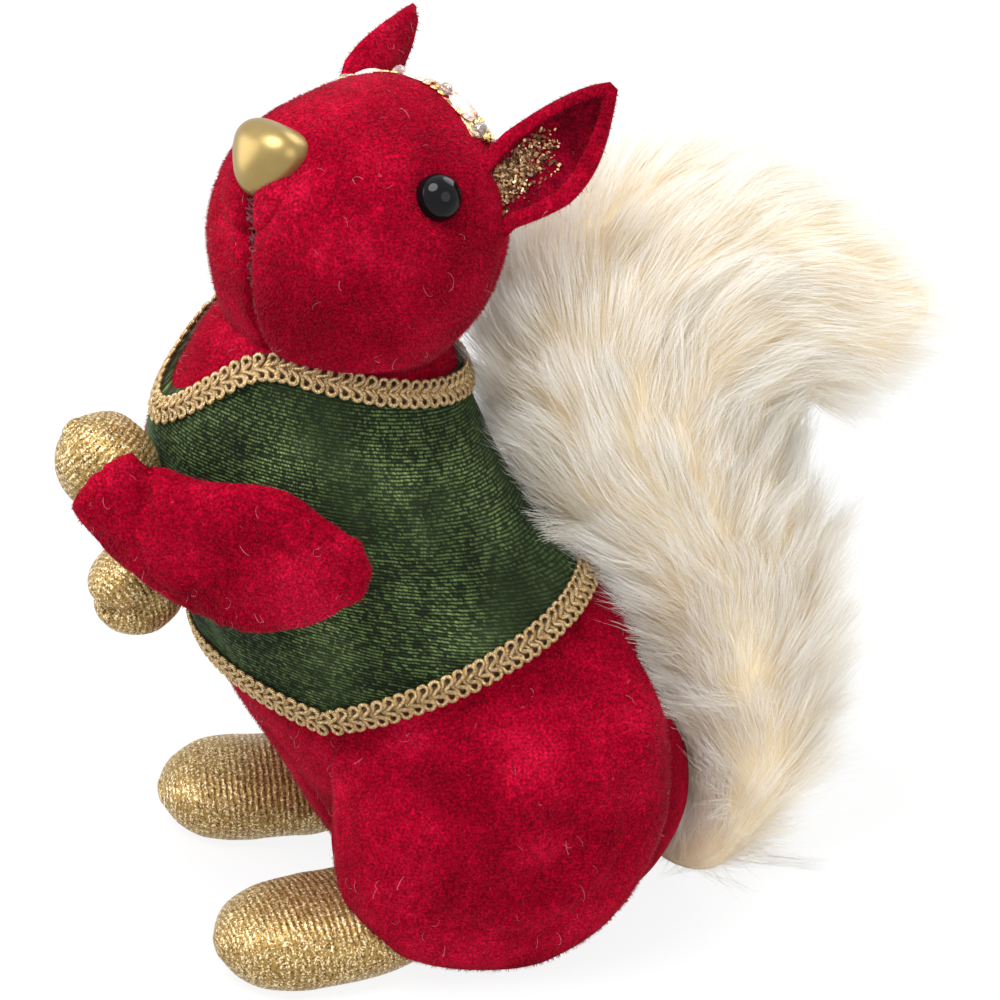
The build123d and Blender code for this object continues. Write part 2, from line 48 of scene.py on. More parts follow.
# Strands stop this far above the floor, in metres
STRAND_FLOOR = 0.0003

# Body sections: height, centre y, half width, half depth as shares of the body
BODY_SIZE = (88.0, 99.0, 154.0)
BODY_SHARES = (
    (0.000, 0.050, 0.380, 0.300),
    (0.085, 0.045, 0.475, 0.420),
    (0.240, -0.025, 0.500, 0.475),
    (0.350, -0.110, 0.500, 0.485),
    (0.470, -0.181, 0.490, 0.494),
    (0.585, -0.288, 0.455, 0.428),
    (0.700, -0.374, 0.420, 0.390),
    (0.805, -0.402, 0.360, 0.352),
    (0.895, -0.385, 0.290, 0.297),
    (0.960, -0.384, 0.215, 0.232),
    (1.000, -0.384, 0.120, 0.110),
)
# Head sections: place along the length, centre height, half width, half height
HEAD_SIZE = (66.0, 66.0, 70.0)
HEAD_CENTRE = (0.0, -23.716, 165.6)
HEAD_YAW = 24.5
HEAD_PITCH = 26.0
HEAD_SHARES = (
    (-0.561, 0.021, 0.136, 0.157),
    (-0.492, -0.029, 0.295, 0.271),
    (-0.348, -0.057, 0.424, 0.400),
    (-0.167, -0.043, 0.485, 0.479),
    (0.030, -0.020, 0.485, 0.488),
    (0.202, -0.012, 0.408, 0.408),
    (0.314, 0.000, 0.262, 0.258),
    (0.372, 0.004, 0.100, 0.095),
)
CROWN_SECTION = 4
# The headband runs a little forward towards its far end: share of a section's step for each degree
CROWN_SKEW = 0.0085
CROWN_NEAR_END = 37.0
# Tail sections: y, z, turn from upright, half depth, half width
TAIL_SIZE = (58.0, 100.0, 172.0)
TAIL_START = (0.0, 52.55, 0.8)
TAIL_SHARES = (
    (-0.040, 0.000, 0.0, 0.120, 0.38),
    (0.078, 0.100, 0.0, 0.146, 0.40),
    (0.068, 0.279, 0.0, 0.213, 0.44),
    (-0.034, 0.465, 0.0, 0.288, 0.49),
    (-0.130, 0.581, 4.0, 0.346, 0.50),
    (-0.110, 0.779, 34.0, 0.405, 0.50),
    (0.030, 0.830, 58.0, 0.370, 0.49),
    (0.260, 0.794, 86.0, 0.245, 0.40),
    (0.405, 0.774, 90.0, 0.140, 0.27),
    (0.495, 0.762, 92.0, 0.040, 0.07),
)


class Side(Enum):
    """Which side of the animal a piece is on, as the sign of X."""

    LEFT = 1
    RIGHT = -1

    @property
    def word(self) -> str:
        """Name of the side as the nodes spell it."""
        return self.name.lower()


# Maths


def turn_about(axis: str, degrees: float) -> np.ndarray:
    """Rotation matrix about one of the main axes.

    Args:
        axis: "X", "Y" or "Z".
        degrees: angle of the turn.

    Returns:
        A 3 by 3 array.
    """
    return np.array(Matrix.Rotation(math.radians(degrees), 3, axis))


def unit(vectors: np.ndarray) -> np.ndarray:
    """Vectors scaled to length one along the last axis."""
    length = np.linalg.norm(vectors, axis=-1, keepdims=True)
    return vectors / np.maximum(length, 1e-12)


def lattice_noise(points: np.ndarray, size: float, seed: int) -> np.ndarray:
    """Smooth noise in space between -1 and 1.

    Args:
        points: places, with the coordinates on the last axis.
        size: width of one swell, in the units of the points.
        seed: number that picks the pattern.

    Returns:
        One value for each point.
    """
    place = points / size
    cell = np.floor(place).astype(np.int64)
    part = place - cell
    fade = part**3 * (part * (part * 6 - 15) + 10)
    total = np.zeros(points.shape[:-1])
    for corner in np.ndindex(2, 2, 2):
        at = cell + np.array(corner)
        mixed = at[..., 0] * 374761393 + at[..., 1] * 668265263 + at[..., 2] * 1274126177 + seed * 974634777
        mixed = (mixed ^ (mixed >> 13)) * 1103515245
        value = ((mixed ^ (mixed >> 16)) & 0xFFFF) / 32767.5 - 1
        weight = np.prod(np.where(np.array(corner) == 1, fade, 1 - fade), axis=-1)
        total += value * weight
    return total


def swell(points: np.ndarray, size: float, seed: int, octaves: int = 3) -> np.ndarray:
    """Noise of several sizes added up, each half as wide and half as strong."""
    total = np.zeros(points.shape[:-1])
    for octave in range(octaves):
        total += lattice_noise(points, size / 2**octave, seed + octave) / 2**octave
    return total


def smooth_through(knots: np.ndarray, values: np.ndarray, at: np.ndarray) -> np.ndarray:
    """Natural cubic curve through values at rising knots.

    Args:
        knots: rising places of the values.
        values: one row for each knot.
        at: places to read the curve.

    Returns:
        One row for each place.
    """
    count = len(knots)
    step = np.diff(knots)
    system = np.eye(count)
    right = np.zeros_like(values, dtype=float)
    for row in range(1, count - 1):
        system[row, row - 1 : row + 2] = step[row - 1], 2 * (step[row - 1] + step[row]), step[row]
        rise = (values[row + 1] - values[row]) / step[row] - (values[row] - values[row - 1]) / step[row - 1]
        right[row] = 6 * rise
    bend = np.linalg.solve(system, right)
    span = np.clip(np.searchsorted(knots, at, side="right") - 1, 0, count - 2)
    width = step[span][:, None]
    before = (at - knots[span])[:, None]
    after = width - before
    low, high = bend[span], bend[span + 1]
    curve = (low * after**3 + high * before**3) / (6 * width)
    curve += (values[span] / width - low * width / 6) * after
    return curve + (values[span + 1] / width - high * width / 6) * before


def arc_height(start: tuple, middle: tuple, end: tuple, at: np.ndarray) -> np.ndarray:
    """Height of the arc through three points of the side view.

    Args:
        start: first point, as y and z.
        middle: a point between.
        end: last point.
        at: y values to read.

    Returns:
        One height for each y.
    """
    (ay, az), (by, bz), (cy, cz) = start, middle, end
    spread = 2 * (ay * (bz - cz) + by * (cz - az) + cy * (az - bz))
    a2, b2, c2 = ay * ay + az * az, by * by + bz * bz, cy * cy + cz * cz
    mid_y = (a2 * (bz - cz) + b2 * (cz - az) + c2 * (az - bz)) / spread
    mid_z = (a2 * (cy - by) + b2 * (ay - cy) + c2 * (by - ay)) / spread
    radius2 = (ay - mid_y) ** 2 + (az - mid_z) ** 2
    branch = math.copysign(1, bz - mid_z)
    return mid_z + branch * np.sqrt(np.maximum(radius2 - (at - mid_y) ** 2, 0))


@dataclass
class StuffedForm:
    """Swelling form through oval sections, read as a grid of rings.

    Each section has a centre, two axes and two half sizes, all in millimetres.
    """

    centres: np.ndarray
    x_axes: np.ndarray
    y_axes: np.ndarray
    halves: np.ndarray

    def knots(self) -> np.ndarray:
        """Rising place of each section, from how far its rim lies from the last one."""
        rims = []
        for x_sign, y_sign in ((1, 0), (-1, 0), (0, 1), (0, -1)):
            across = self.x_axes * self.halves[:, :1] * x_sign
            rims.append(self.centres + across + self.y_axes * self.halves[:, 1:] * y_sign)
        gap = np.mean([np.linalg.norm(np.diff(rim, axis=0), axis=1) for rim in rims], axis=0)
        return np.concatenate([[0], np.cumsum(gap)])

    def rings(self, rows: int, columns: int, grow: float = 0.0, domes: tuple = (0.0, 0.0)) -> np.ndarray:
        """Points of the surface.

        Args:
            rows: rings along the form.
            columns: points around each ring.
            grow: distance that the sides move out.
            domes: heights of the rounded ends as shares of the end's smaller half, first and last.

        Returns:
            An array of rings, points and coordinates.
        """
        knots = self.knots()
        table = np.hstack([self.centres, self.x_axes, self.y_axes, self.halves])
        read = smooth_through(knots, table, np.linspace(knots[0], knots[-1], rows))
        centre, x_axis, y_axis, half = read[:, :3], unit(read[:, 3:6]), unit(read[:, 6:9]), read[:, 9:] + grow
        angle = np.linspace(0, 2 * math.pi, columns, endpoint=False)
        around = np.cos(angle)[None, :, None] * (x_axis * half[:, :1])[:, None, :]
        around = around + np.sin(angle)[None, :, None] * (y_axis * half[:, 1:])[:, None, :]
        rings = centre[:, None, :] + around
        normal = np.cross(x_axis, y_axis)
        normal *= np.sign(np.sum(normal * np.gradient(centre, axis=0), axis=1, keepdims=True))
        for end, share, way in ((0, domes[0], -1), (-1, domes[1], 1)):
            if share <= 0:
                continue
            height = share * half[end].min()
            caps = []
            for part in np.linspace(0, math.pi / 2, 9)[1:]:
                shift = normal[end] * way * height * math.sin(part)
                caps.append(centre[end] + shift + around[end] * max(math.cos(part), 0.004))
            caps = np.array(caps)
            rings = np.concatenate([caps[::-1], rings]) if end == 0 else np.concatenate([rings, caps])
        return rings


def body_form() -> StuffedForm:
    """Body from the seat to the neck."""
    shares = np.array(BODY_SHARES)
    width, depth, height = BODY_SIZE
    count = len(shares)
    centres = np.stack([np.zeros(count), shares[:, 1] * depth, shares[:, 0] * height], axis=1)
    halves = np.stack([shares[:, 2] * width, shares[:, 3] * depth], axis=1)
    return StuffedForm(centres, np.tile([1.0, 0, 0], (count, 1)), np.tile([0, 1.0, 0], (count, 1)), halves)


def head_form() -> StuffedForm:
    """Head in its own frame, from the muzzle to the nape."""
    shares = np.array(HEAD_SHARES)
    width, length, height = HEAD_SIZE
    count = len(shares)
    centres = np.stack([np.zeros(count), shares[:, 0] * length, shares[:, 1] * height], axis=1)
    halves = np.stack([shares[:, 2] * width, shares[:, 3] * height], axis=1)
    return StuffedForm(centres, np.tile([1.0, 0, 0], (count, 1)), np.tile([0, 0, 1.0], (count, 1)), halves)


def head_turn() -> np.ndarray:
    """Rotation from the head's own frame to the object's."""
    return turn_about("Z", HEAD_YAW) @ turn_about("X", -HEAD_PITCH)


def on_head(points: np.ndarray) -> np.ndarray:
    """Points of the head's own frame in the object's frame."""
    return points @ head_turn().T + np.array(HEAD_CENTRE)


def crown_place(angle: float, rise: float) -> tuple[np.ndarray, np.ndarray]:
    """Foot and turn of a bead on the crown.

    Args:
        angle: degrees from the top of the head, towards its left.
        rise: height over the velvet.

    Returns:
        The point in the object's frame and the 3 by 3 turn whose Z stands out of the head.
    """
    near, last = np.array(HEAD_SHARES[CROWN_SECTION - 1]), np.array(HEAD_SHARES[CROWN_SECTION])
    share = min(max(CROWN_SKEW * (CROWN_NEAR_END - angle), 0.0), 1.0)
    y, z, half_x, half_z = last + (near - last) * share
    half_x, half_z = half_x * HEAD_SIZE[0], half_z * HEAD_SIZE[2]
    turn = math.radians(angle)
    foot = np.array([half_x * math.sin(turn), y * HEAD_SIZE[1], z * HEAD_SIZE[2] + half_z * math.cos(turn)])
    normal = unit(np.array([math.sin(turn) / half_x, 0, math.cos(turn) / half_z]))
    along = unit(np.array([math.cos(turn) / half_z, 0, -math.sin(turn) / half_x]))
    axes = np.stack([along, np.cross(normal, along), normal], axis=1)
    return on_head(foot + normal * rise), head_turn() @ axes


# Meshes


def rings_to_faces(rows: int, columns: int, closed: bool = True) -> np.ndarray:
    """Quads between the rings of a grid, facing outwards for rings that run up and turn left."""
    last = columns if closed else columns - 1
    row, column = np.meshgrid(np.arange(rows - 1), np.arange(last), indexing="ij")
    after = (column + 1) % columns
    quads = [row * columns + column, row * columns + after, (row + 1) * columns + after, (row + 1) * columns + column]
    return np.stack(quads, axis=-1).reshape(-1, 4)


def mesh_object(name: str, points: np.ndarray, faces: list, uv: np.ndarray | None = None) -> bpy.types.Object:
    """New smooth mesh object at the origin.

    Args:
        name: name of the piece.
        points: places in millimetres.
        faces: lists of point numbers.
        uv: two numbers for each point, or None.

    Returns:
        The object, in the scene.
    """
    mesh = bpy.data.meshes.new(name)
    mesh.from_pydata((np.asarray(points, dtype=float) * MM).tolist(), [], [list(map(int, face)) for face in faces])
    if uv is not None:
        layer = mesh.uv_layers.new(name="cloth")
        loops = np.zeros(len(mesh.loops), dtype=np.int32)
        mesh.loops.foreach_get("vertex_index", loops)
        layer.data.foreach_set("uv", np.asarray(uv)[loops].ravel().astype(np.float32))
    mesh.polygons.foreach_set("use_smooth", [True] * len(mesh.polygons))
    mesh.update()
    piece = bpy.data.objects.new(name, mesh)
    bpy.context.scene.collection.objects.link(piece)
    return piece


def face_out(piece: bpy.types.Object) -> None:
    """Turn all faces of a closed piece outwards."""
    work = bmesh.new()
    work.from_mesh(piece.data)
    bmesh.ops.recalc_face_normals(work, faces=work.faces)
    work.to_mesh(piece.data)
    work.free()


def closed_rings(name: str, rings: np.ndarray) -> bpy.types.Object:
    """Closed piece from rings, with its two ends drawn to a point.

    Args:
        name: name of the piece.
        rings: rings, points and coordinates, in millimetres.

    Returns:
        The object, with a map of distances around and along the form in centimetres.
    """
    rows, columns, _ = rings.shape
    points = rings.reshape(-1, 3)
    ends = np.stack([rings[0].mean(axis=0), rings[-1].mean(axis=0)])
    faces = rings_to_faces(rows, columns).tolist()
    first, last = rows * columns, rows * columns + 1
    for column in range(columns):
        after = (column + 1) % columns
        faces.append([first, after, column])
        faces.append([last, (rows - 1) * columns + column, (rows - 1) * columns + after])
    girth = np.linalg.norm(np.diff(rings, axis=1, append=rings[:, :1]), axis=2).sum(axis=1).max()
    along = np.concatenate([[0], np.cumsum(np.linalg.norm(np.diff(rings, axis=0), axis=2).mean(axis=1))])
    across = np.abs(np.linspace(-1, 1, columns, endpoint=False)) * girth / 2
    uv = np.stack(np.broadcast_arrays(across[None, :], along[:, None]), axis=-1).reshape(-1, 2) / 10
    uv = np.concatenate([uv, [[0, along[0] / 10], [0, along[-1] / 10]]])
    piece = mesh_object(name, np.concatenate([points, ends]), faces, uv)
    face_out(piece)
    return piece


def vertex_places(piece: bpy.types.Object) -> np.ndarray:
    """Vertex places of a piece in millimetres."""
    flat = np.zeros(len(piece.data.vertices) * 3, dtype=np.float32)
    piece.data.vertices.foreach_get("co", flat)
    return flat.reshape(-1, 3).astype(float) / MM


def vertex_normals(piece: bpy.types.Object) -> np.ndarray:
    """Vertex normals of a piece."""
    flat = np.zeros(len(piece.data.vertices) * 3, dtype=np.float32)
    piece.data.vertices.foreach_get("normal", flat)
    return flat.reshape(-1, 3).astype(float)


def move_vertices(piece: bpy.types.Object, places: np.ndarray) -> None:
    """Give a piece new vertex places in millimetres."""
    piece.data.vertices.foreach_set("co", (places * MM).astype(np.float32).ravel())
    piece.data.update()


def write_attribute(mesh: bpy.types.Mesh, name: str, values: np.ndarray) -> None:
    """Store one number or vector for each vertex of a mesh."""
    values = np.asarray(values, dtype=np.float32)
    kind, key = ("FLOAT_VECTOR", "vector") if values.ndim == 2 else ("FLOAT", "value")
    layer = mesh.attributes.new(name, kind, "POINT")
    layer.data.foreach_set(key, values.ravel())


def drop_vertices(mesh: bpy.types.Mesh, dropped: np.ndarray) -> None:
    """Delete the marked vertices of a mesh with their faces."""
    work = bmesh.new()
    work.from_mesh(mesh)
    work.verts.ensure_lookup_table()
    bmesh.ops.delete(work, geom=[work.verts[int(index)] for index in np.nonzero(dropped)[0]], context="VERTS")
    work.to_mesh(mesh)
    work.free()


def put_on(piece: bpy.types.Object, finish: bpy.types.Material) -> None:
    """Give a piece one finish."""
    piece.data.materials.clear()
    piece.data.materials.append(finish)


def declare(piece: bpy.types.Object, nodes: tuple = ()) -> None:
    """Hang a piece under the root empty and hide the imported nodes that it stands for.

    Args:
        piece: the finished piece.
        nodes: nodes that the piece stands for.
    """
    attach(piece, ROOT)
    if nodes:
        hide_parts(*nodes)
    LOG.info("%s: %d faces", piece.name, len(piece.data.polygons))


# Geometry node trees


class NodeSheet:
    """Lays out the nodes of one tree."""

    def __init__(self, tree: bpy.types.NodeTree) -> None:
        """Keep the tree that gets the nodes."""
        self.tree = tree

    def add(self, kind: str, inputs: dict | None = None, **settings: object) -> bpy.types.Node:
        """New node.

        Args:
            kind: type of the node.
            inputs: values or sockets for its inputs, by name or number.
            settings: properties of the node.

        Returns:
            The node.
        """
        node = self.tree.nodes.new(kind)
        for name, value in settings.items():
            setattr(node, name, value)
        for key, value in (inputs or {}).items():
            socket = node.inputs[key]
            if isinstance(value, bpy.types.NodeSocket):
                self.tree.links.new(value, socket)
            else:
                socket.default_value = value
        return node

    def attribute(self, name: str, kind: str) -> bpy.types.NodeSocket:
        """Named attribute of the geometry."""
        return self.add("GeometryNodeInputNamedAttribute", {"Name": name}, data_type=kind).outputs["Attribute"]

    def vector(self, operation: str, first: object, second: object = None) -> bpy.types.NodeSocket:
        """Result of a vector sum, product or the like."""
        inputs = {0: first}
        if second is not None:
            inputs["Scale" if operation == "SCALE" else 1] = second
        return self.add("ShaderNodeVectorMath", inputs, operation=operation).outputs["Vector"]

    def number(self, operation: str, first: object, second: object = None) -> bpy.types.NodeSocket:
        """Result of a sum, product or the like."""
        inputs = {0: first}
        if second is not None:
            inputs[1] = second
        return self.add("ShaderNodeMath", inputs, operation=operation).outputs["Value"]


class NodeTool:
    """A geometry node tree with named inputs that turns a carrier into a plain mesh."""

    def __init__(self, name: str, inputs: tuple) -> None:
        """Make an empty tree.

        Args:
            name: name of the tree.
            inputs: pairs of input name and socket type.
        """
        self.tree = bpy.data.node_groups.new(name, "GeometryNodeTree")
        self.keys: dict[str, str] = {}
        face = self.tree.interface
        face.new_socket("Geometry", in_out="INPUT", socket_type="NodeSocketGeometry")
        for label, kind in inputs:
            self.keys[label] = face.new_socket(label, in_out="INPUT", socket_type=kind).identifier
        face.new_socket("Geometry", in_out="OUTPUT", socket_type="NodeSocketGeometry")
        self.sheet = NodeSheet(self.tree)
        self.given = self.sheet.add("NodeGroupInput").outputs

    def close(self, geometry: bpy.types.NodeSocket) -> None:
        """Set the finish and end the tree."""
        real = self.sheet.add("GeometryNodeSetMaterial", {"Geometry": geometry, "Material": self.given["Finish"]})
        self.sheet.add("NodeGroupOutput", {"Geometry": real.outputs["Geometry"]})

    def run(self, carrier: bpy.types.Object, name: str, **values: object) -> bpy.types.Object:
        """Run the tree on a carrier.

        Args:
            carrier: object whose mesh goes in; it is left as it is.
            name: name of the new piece.
            values: one value for each named input, with _ for spaces.

        Returns:
            A plain mesh object.
        """
        work = bpy.data.objects.new(name + "_work", carrier.data)
        bpy.context.scene.collection.objects.link(work)
        modifier = work.modifiers.new("tool", "NODES")
        modifier.node_group = self.tree
        for label, value in values.items():
            modifier[self.keys[label.replace("_", " ")]] = value
        bpy.context.view_layer.update()
        graph = bpy.context.evaluated_depsgraph_get()
        mesh = bpy.data.meshes.new_from_object(work.evaluated_get(graph), depsgraph=graph)
        mesh.name = name
        work.modifiers.remove(modifier)
        bpy.data.objects.remove(work)
        piece = bpy.data.objects.new(name, mesh)
        bpy.context.scene.collection.objects.link(piece)
        return piece


def placed_tool() -> NodeTool:
    """Tool that puts a unit shape on each vertex of a carrier, turned and sized by its attributes."""
    tool = NodeTool("placed units", (("Unit", "NodeSocketObject"), ("Finish", "NodeSocketMaterial")))
    sheet = tool.sheet
    unit_shape = sheet.add("GeometryNodeObjectInfo", {"Object": tool.given["Unit"]}).outputs["Geometry"]
    turn = sheet.add("FunctionNodeEulerToRotation", {"Euler": sheet.attribute("turn", "FLOAT_VECTOR")})
    put = sheet.add(
        "GeometryNodeInstanceOnPoints",
        {
            "Points": tool.given["Geometry"],
            "Instance": unit_shape,
            "Rotation": turn.outputs["Rotation"],
            "Scale": sheet.attribute("size", "FLOAT_VECTOR"),
        },
    )
    tool.close(sheet.add("GeometryNodeRealizeInstances", {"Geometry": put.outputs["Instances"]}).outputs["Geometry"])
    return tool


def strand_tool() -> NodeTool:
    """Tool that grows combed strands on a skin, gathered in tufts."""
    tool = NodeTool(
        "combed strands",
        (
            ("Unit", "NodeSocketObject"),
            ("Finish", "NodeSocketMaterial"),
            ("Density", "NodeSocketFloat"),
            ("Lift", "NodeSocketFloat"),
            ("Stray", "NodeSocketFloat"),
            ("Tuft Size", "NodeSocketFloat"),
            ("Tuft Pull", "NodeSocketFloat"),
            ("Clump Pull", "NodeSocketFloat"),
            ("Sway", "NodeSocketFloat"),
            ("Wave", "NodeSocketFloat"),
            ("Seed", "NodeSocketInt"),
        ),
    )
    sheet, given = tool.sheet, tool.given
    spread = sheet.add(
        "GeometryNodeDistributePointsOnFaces",
        {"Mesh": given["Geometry"], "Density": given["Density"], "Seed": given["Seed"]},
    )
    position = sheet.add("GeometryNodeInputPosition").outputs["Position"]
    rooted = sheet.add(
        "GeometryNodeStoreNamedAttribute",
        {"Geometry": spread.outputs["Points"], "Name": "root", "Value": position},
        data_type="FLOAT_VECTOR",
        domain="POINT",
    )
    low, high = (-1.0, -1.0, -1.0), (1.0, 1.0, 1.0)
    stray = sheet.add("FunctionNodeRandomValue", {"Min": low, "Max": high, "Seed": given["Seed"]}, data_type="FLOAT_VECTOR")
    comb = sheet.attribute("comb", "FLOAT_VECTOR")
    up = sheet.vector("SCALE", spread.outputs["Normal"], given["Lift"])
    lean = sheet.vector("ADD", comb, up)
    lean = sheet.vector("ADD", lean, sheet.vector("SCALE", stray.outputs[0], given["Stray"]))
    turn = sheet.add("FunctionNodeAxesToRotation", {"Primary Axis": lean, "Secondary Axis": comb})
    chance = sheet.add("FunctionNodeRandomValue", {2: 0.62, 3: 1.12, "Seed": given["Seed"]}, data_type="FLOAT")
    length = sheet.number("MULTIPLY", sheet.attribute("reach", "FLOAT"), chance.outputs[1])
    unit_shape = sheet.add("GeometryNodeObjectInfo", {"Object": given["Unit"]}).outputs["Geometry"]
    put = sheet.add(
        "GeometryNodeInstanceOnPoints",
        {
            "Points": rooted.outputs["Geometry"],
            "Instance": unit_shape,
            "Rotation": turn.outputs["Rotation"],
            "Scale": length,
        },
    )
    tone = sheet.add("FunctionNodeRandomValue", {2: 0.0, 3: 1.0, "Seed": given["Seed"]}, data_type="FLOAT")
    toned = sheet.add(
        "GeometryNodeStoreNamedAttribute",
        {"Geometry": put.outputs["Instances"], "Name": "tone", "Value": tone.outputs[1]},
        data_type="FLOAT",
        domain="INSTANCE",
    )
    real = sheet.add("GeometryNodeRealizeInstances", {"Geometry": toned.outputs["Geometry"]})
    root = sheet.attribute("root", "FLOAT_VECTOR")
    along = sheet.attribute("along", "FLOAT")
    bend = sheet.number("POWER", along, 1.4)
    frequency = sheet.number("DIVIDE", 1.0, given["Tuft Size"])
    cells = sheet.add("ShaderNodeTexVoronoi", {"Vector": root, "Scale": frequency}, feature="F1")
    centre = sheet.vector("SUBTRACT", cells.outputs["Position"], root)
    pull = sheet.vector("SCALE", centre, sheet.number("MULTIPLY", bend, given["Tuft Pull"]))
    broad = sheet.add(
        "ShaderNodeTexVoronoi", {"Vector": root, "Scale": sheet.number("MULTIPLY", frequency, 0.33)}, feature="F1"
    )
    gather = sheet.vector("SUBTRACT", broad.outputs["Position"], root)
    pull = sheet.vector("ADD", pull, sheet.vector("SCALE", gather, sheet.number("MULTIPLY", bend, given["Clump Pull"])))
    sway = sheet.vector("SUBTRACT", cells.outputs["Color"], (0.5, 0.5, 0.5))
    pull = sheet.vector("ADD", pull, sheet.vector("SCALE", sway, sheet.number("MULTIPLY", bend, given["Sway"])))
    slow = sheet.number("MULTIPLY", frequency, 0.45)
    waves = sheet.add("ShaderNodeTexNoise", {"Vector": root, "Scale": slow, "Detail": 1.0})
    wave = sheet.vector("SUBTRACT", waves.outputs["Color"], (0.5, 0.5, 0.5))
    wave = sheet.vector("SCALE", wave, sheet.number("MULTIPLY", bend, given["Wave"]))
    moved = sheet.add(
        "GeometryNodeSetPosition",
        {"Geometry": real.outputs["Geometry"], "Offset": sheet.vector("ADD", pull, wave)},
    )
    split = sheet.add("ShaderNodeSeparateXYZ", {"Vector": position})
    above = sheet.number("MAXIMUM", split.outputs["Z"], STRAND_FLOOR)
    place = sheet.add(
        "ShaderNodeCombineXYZ", {"X": split.outputs["X"], "Y": split.outputs["Y"], "Z": above}
    ).outputs["Vector"]
    laid = sheet.add("GeometryNodeSetPosition", {"Geometry": moved.outputs["Geometry"], "Position": place})
    tool.close(laid.outputs["Geometry"])
    return tool


def tapered_strand(name: str, segments: int, thickness: float, bow: float, length: float = 1.0) -> bpy.types.Object:
    """Strand that starts up +Z and bows towards +X.

    Args:
        name: name of the unit.
        segments: steps along the strand.
        thickness: radius at the root as a share of the length.
        bow: how far the tip turns over, in degrees.
        length: length of the strand in units.

    Returns:
        The unit, out of the scene.
    """
    points, along = [], []
    place = np.zeros(3)
    for step in range(segments):
        part = step / segments
        radius = thickness * (1 - 0.55 * part)
        for side in range(3):
            angle = side * 2 * math.pi / 3
            points.append(place + np.array([radius * math.cos(angle), radius * math.sin(angle), 0]))
            along.append(part)
        heading = math.radians(bow * (part + 0.5 / segments))
        place = place + np.array([math.sin(heading), 0, math.cos(heading)]) * length / segments
    points.append(place)
    along.append(1.0)
    faces = rings_to_faces(segments, 3).tolist()
    first = (segments - 1) * 3
    for side in range(3):
        faces.append([first + side, first + (side + 1) % 3, len(points) - 1])
    mesh = bpy.data.meshes.new(name)
    mesh.from_pydata([list(point) for point in points], [], faces)
    mesh.polygons.foreach_set("use_smooth", [True] * len(mesh.polygons))
    write_attribute(mesh, "along", np.array(along))
    return bpy.data.objects.new(name, mesh)


def carrier_of(name: str, places: np.ndarray, turns: list, sizes: np.ndarray, tones: np.ndarray) -> bpy.types.Object:
    """Vertices that carry one unit each.

    Args:
        name: name of the carrier.
        places: feet of the units in millimetres.
        turns: a 3 by 3 array for each unit.
        sizes: three scale numbers for each unit, in millimetres.
        tones: one number from 0 to 1 for each unit.

    Returns:
        The carrier, out of the scene.
    """
    mesh = bpy.data.meshes.new(name)
    mesh.from_pydata((np.asarray(places) * MM).tolist(), [], [])
    write_attribute(mesh, "turn", np.array([Matrix(turn.tolist()).to_euler() for turn in turns]))
    write_attribute(mesh, "size", np.asarray(sizes) * MM)
    write_attribute(mesh, "tone", np.asarray(tones))
    return bpy.data.objects.new(name, mesh)


def tube_along(path: np.ndarray, radius: float, sides: int, closed: bool = False) -> tuple[np.ndarray, list, np.ndarray]:
    """Round tube along a path.

    Args:
        path: points of the middle line.
        radius: radius of the tube.
        sides: points around the tube.
        closed: whether the path runs back into its start.

    Returns:
        Points, faces and a map of distance along and around the tube.
    """
    if closed:
        ahead, behind = np.roll(path, -1, axis=0), np.roll(path, 1, axis=0)
        tangent = unit(ahead - behind)
    else:
        tangent = unit(np.gradient(path, axis=0))
    side = np.cross(tangent[0], [0, 0, 1.0])
    if np.linalg.norm(side) < 1e-6:
        side = np.array([1.0, 0, 0])
    frames = []
    for heading in tangent:
        side = unit(side - heading * np.dot(side, heading))
        frames.append((side, np.cross(heading, side)))
    angle = np.linspace(0, 2 * math.pi, sides, endpoint=False)
    points = []
    for middle, (first, second) in zip(path, frames):
        for turn in angle:
            points.append(middle + radius * (first * math.cos(turn) + second * math.sin(turn)))
    faces = rings_to_faces(len(path), sides).tolist()
    if closed:
        last = (len(path) - 1) * sides
        for column in range(sides):
            after = (column + 1) % sides
            faces.append([last + column, last + after, after, column])
    else:
        faces.append(list(range(sides))[::-1])
        faces.append([(len(path) - 1) * sides + column for column in range(sides)])
    travel = np.concatenate([[0], np.cumsum(np.linalg.norm(np.diff(path, axis=0), axis=1))])
    uv = np.stack(np.broadcast_arrays(travel[:, None], np.arange(sides)[None, :] / sides), axis=-1).reshape(-1, 2)
    return np.array(points), faces, uv


def unit_object(name: str, points: np.ndarray, faces: list, uv: np.ndarray | None = None) -> bpy.types.Object:
    """Unit shape in whole units, kept out of the scene."""
    piece = mesh_object(name, np.asarray(points) / MM, faces, uv)
    bpy.context.scene.collection.objects.unlink(piece)
    return piece


def stitch_unit(name: str) -> bpy.types.Object:
    """Low arch of thread, one unit long."""
    arch = np.array([[-0.5, 0, 0], [-0.2, 0, 0.22], [0.2, 0, 0.22], [0.5, 0, 0.0]])
    points, faces, _ = tube_along(arch, 0.11, 4)
    piece = unit_object(name, points, faces)
    write_attribute(piece.data, "along", np.full(len(points), 0.8))
    return piece


# Finishes


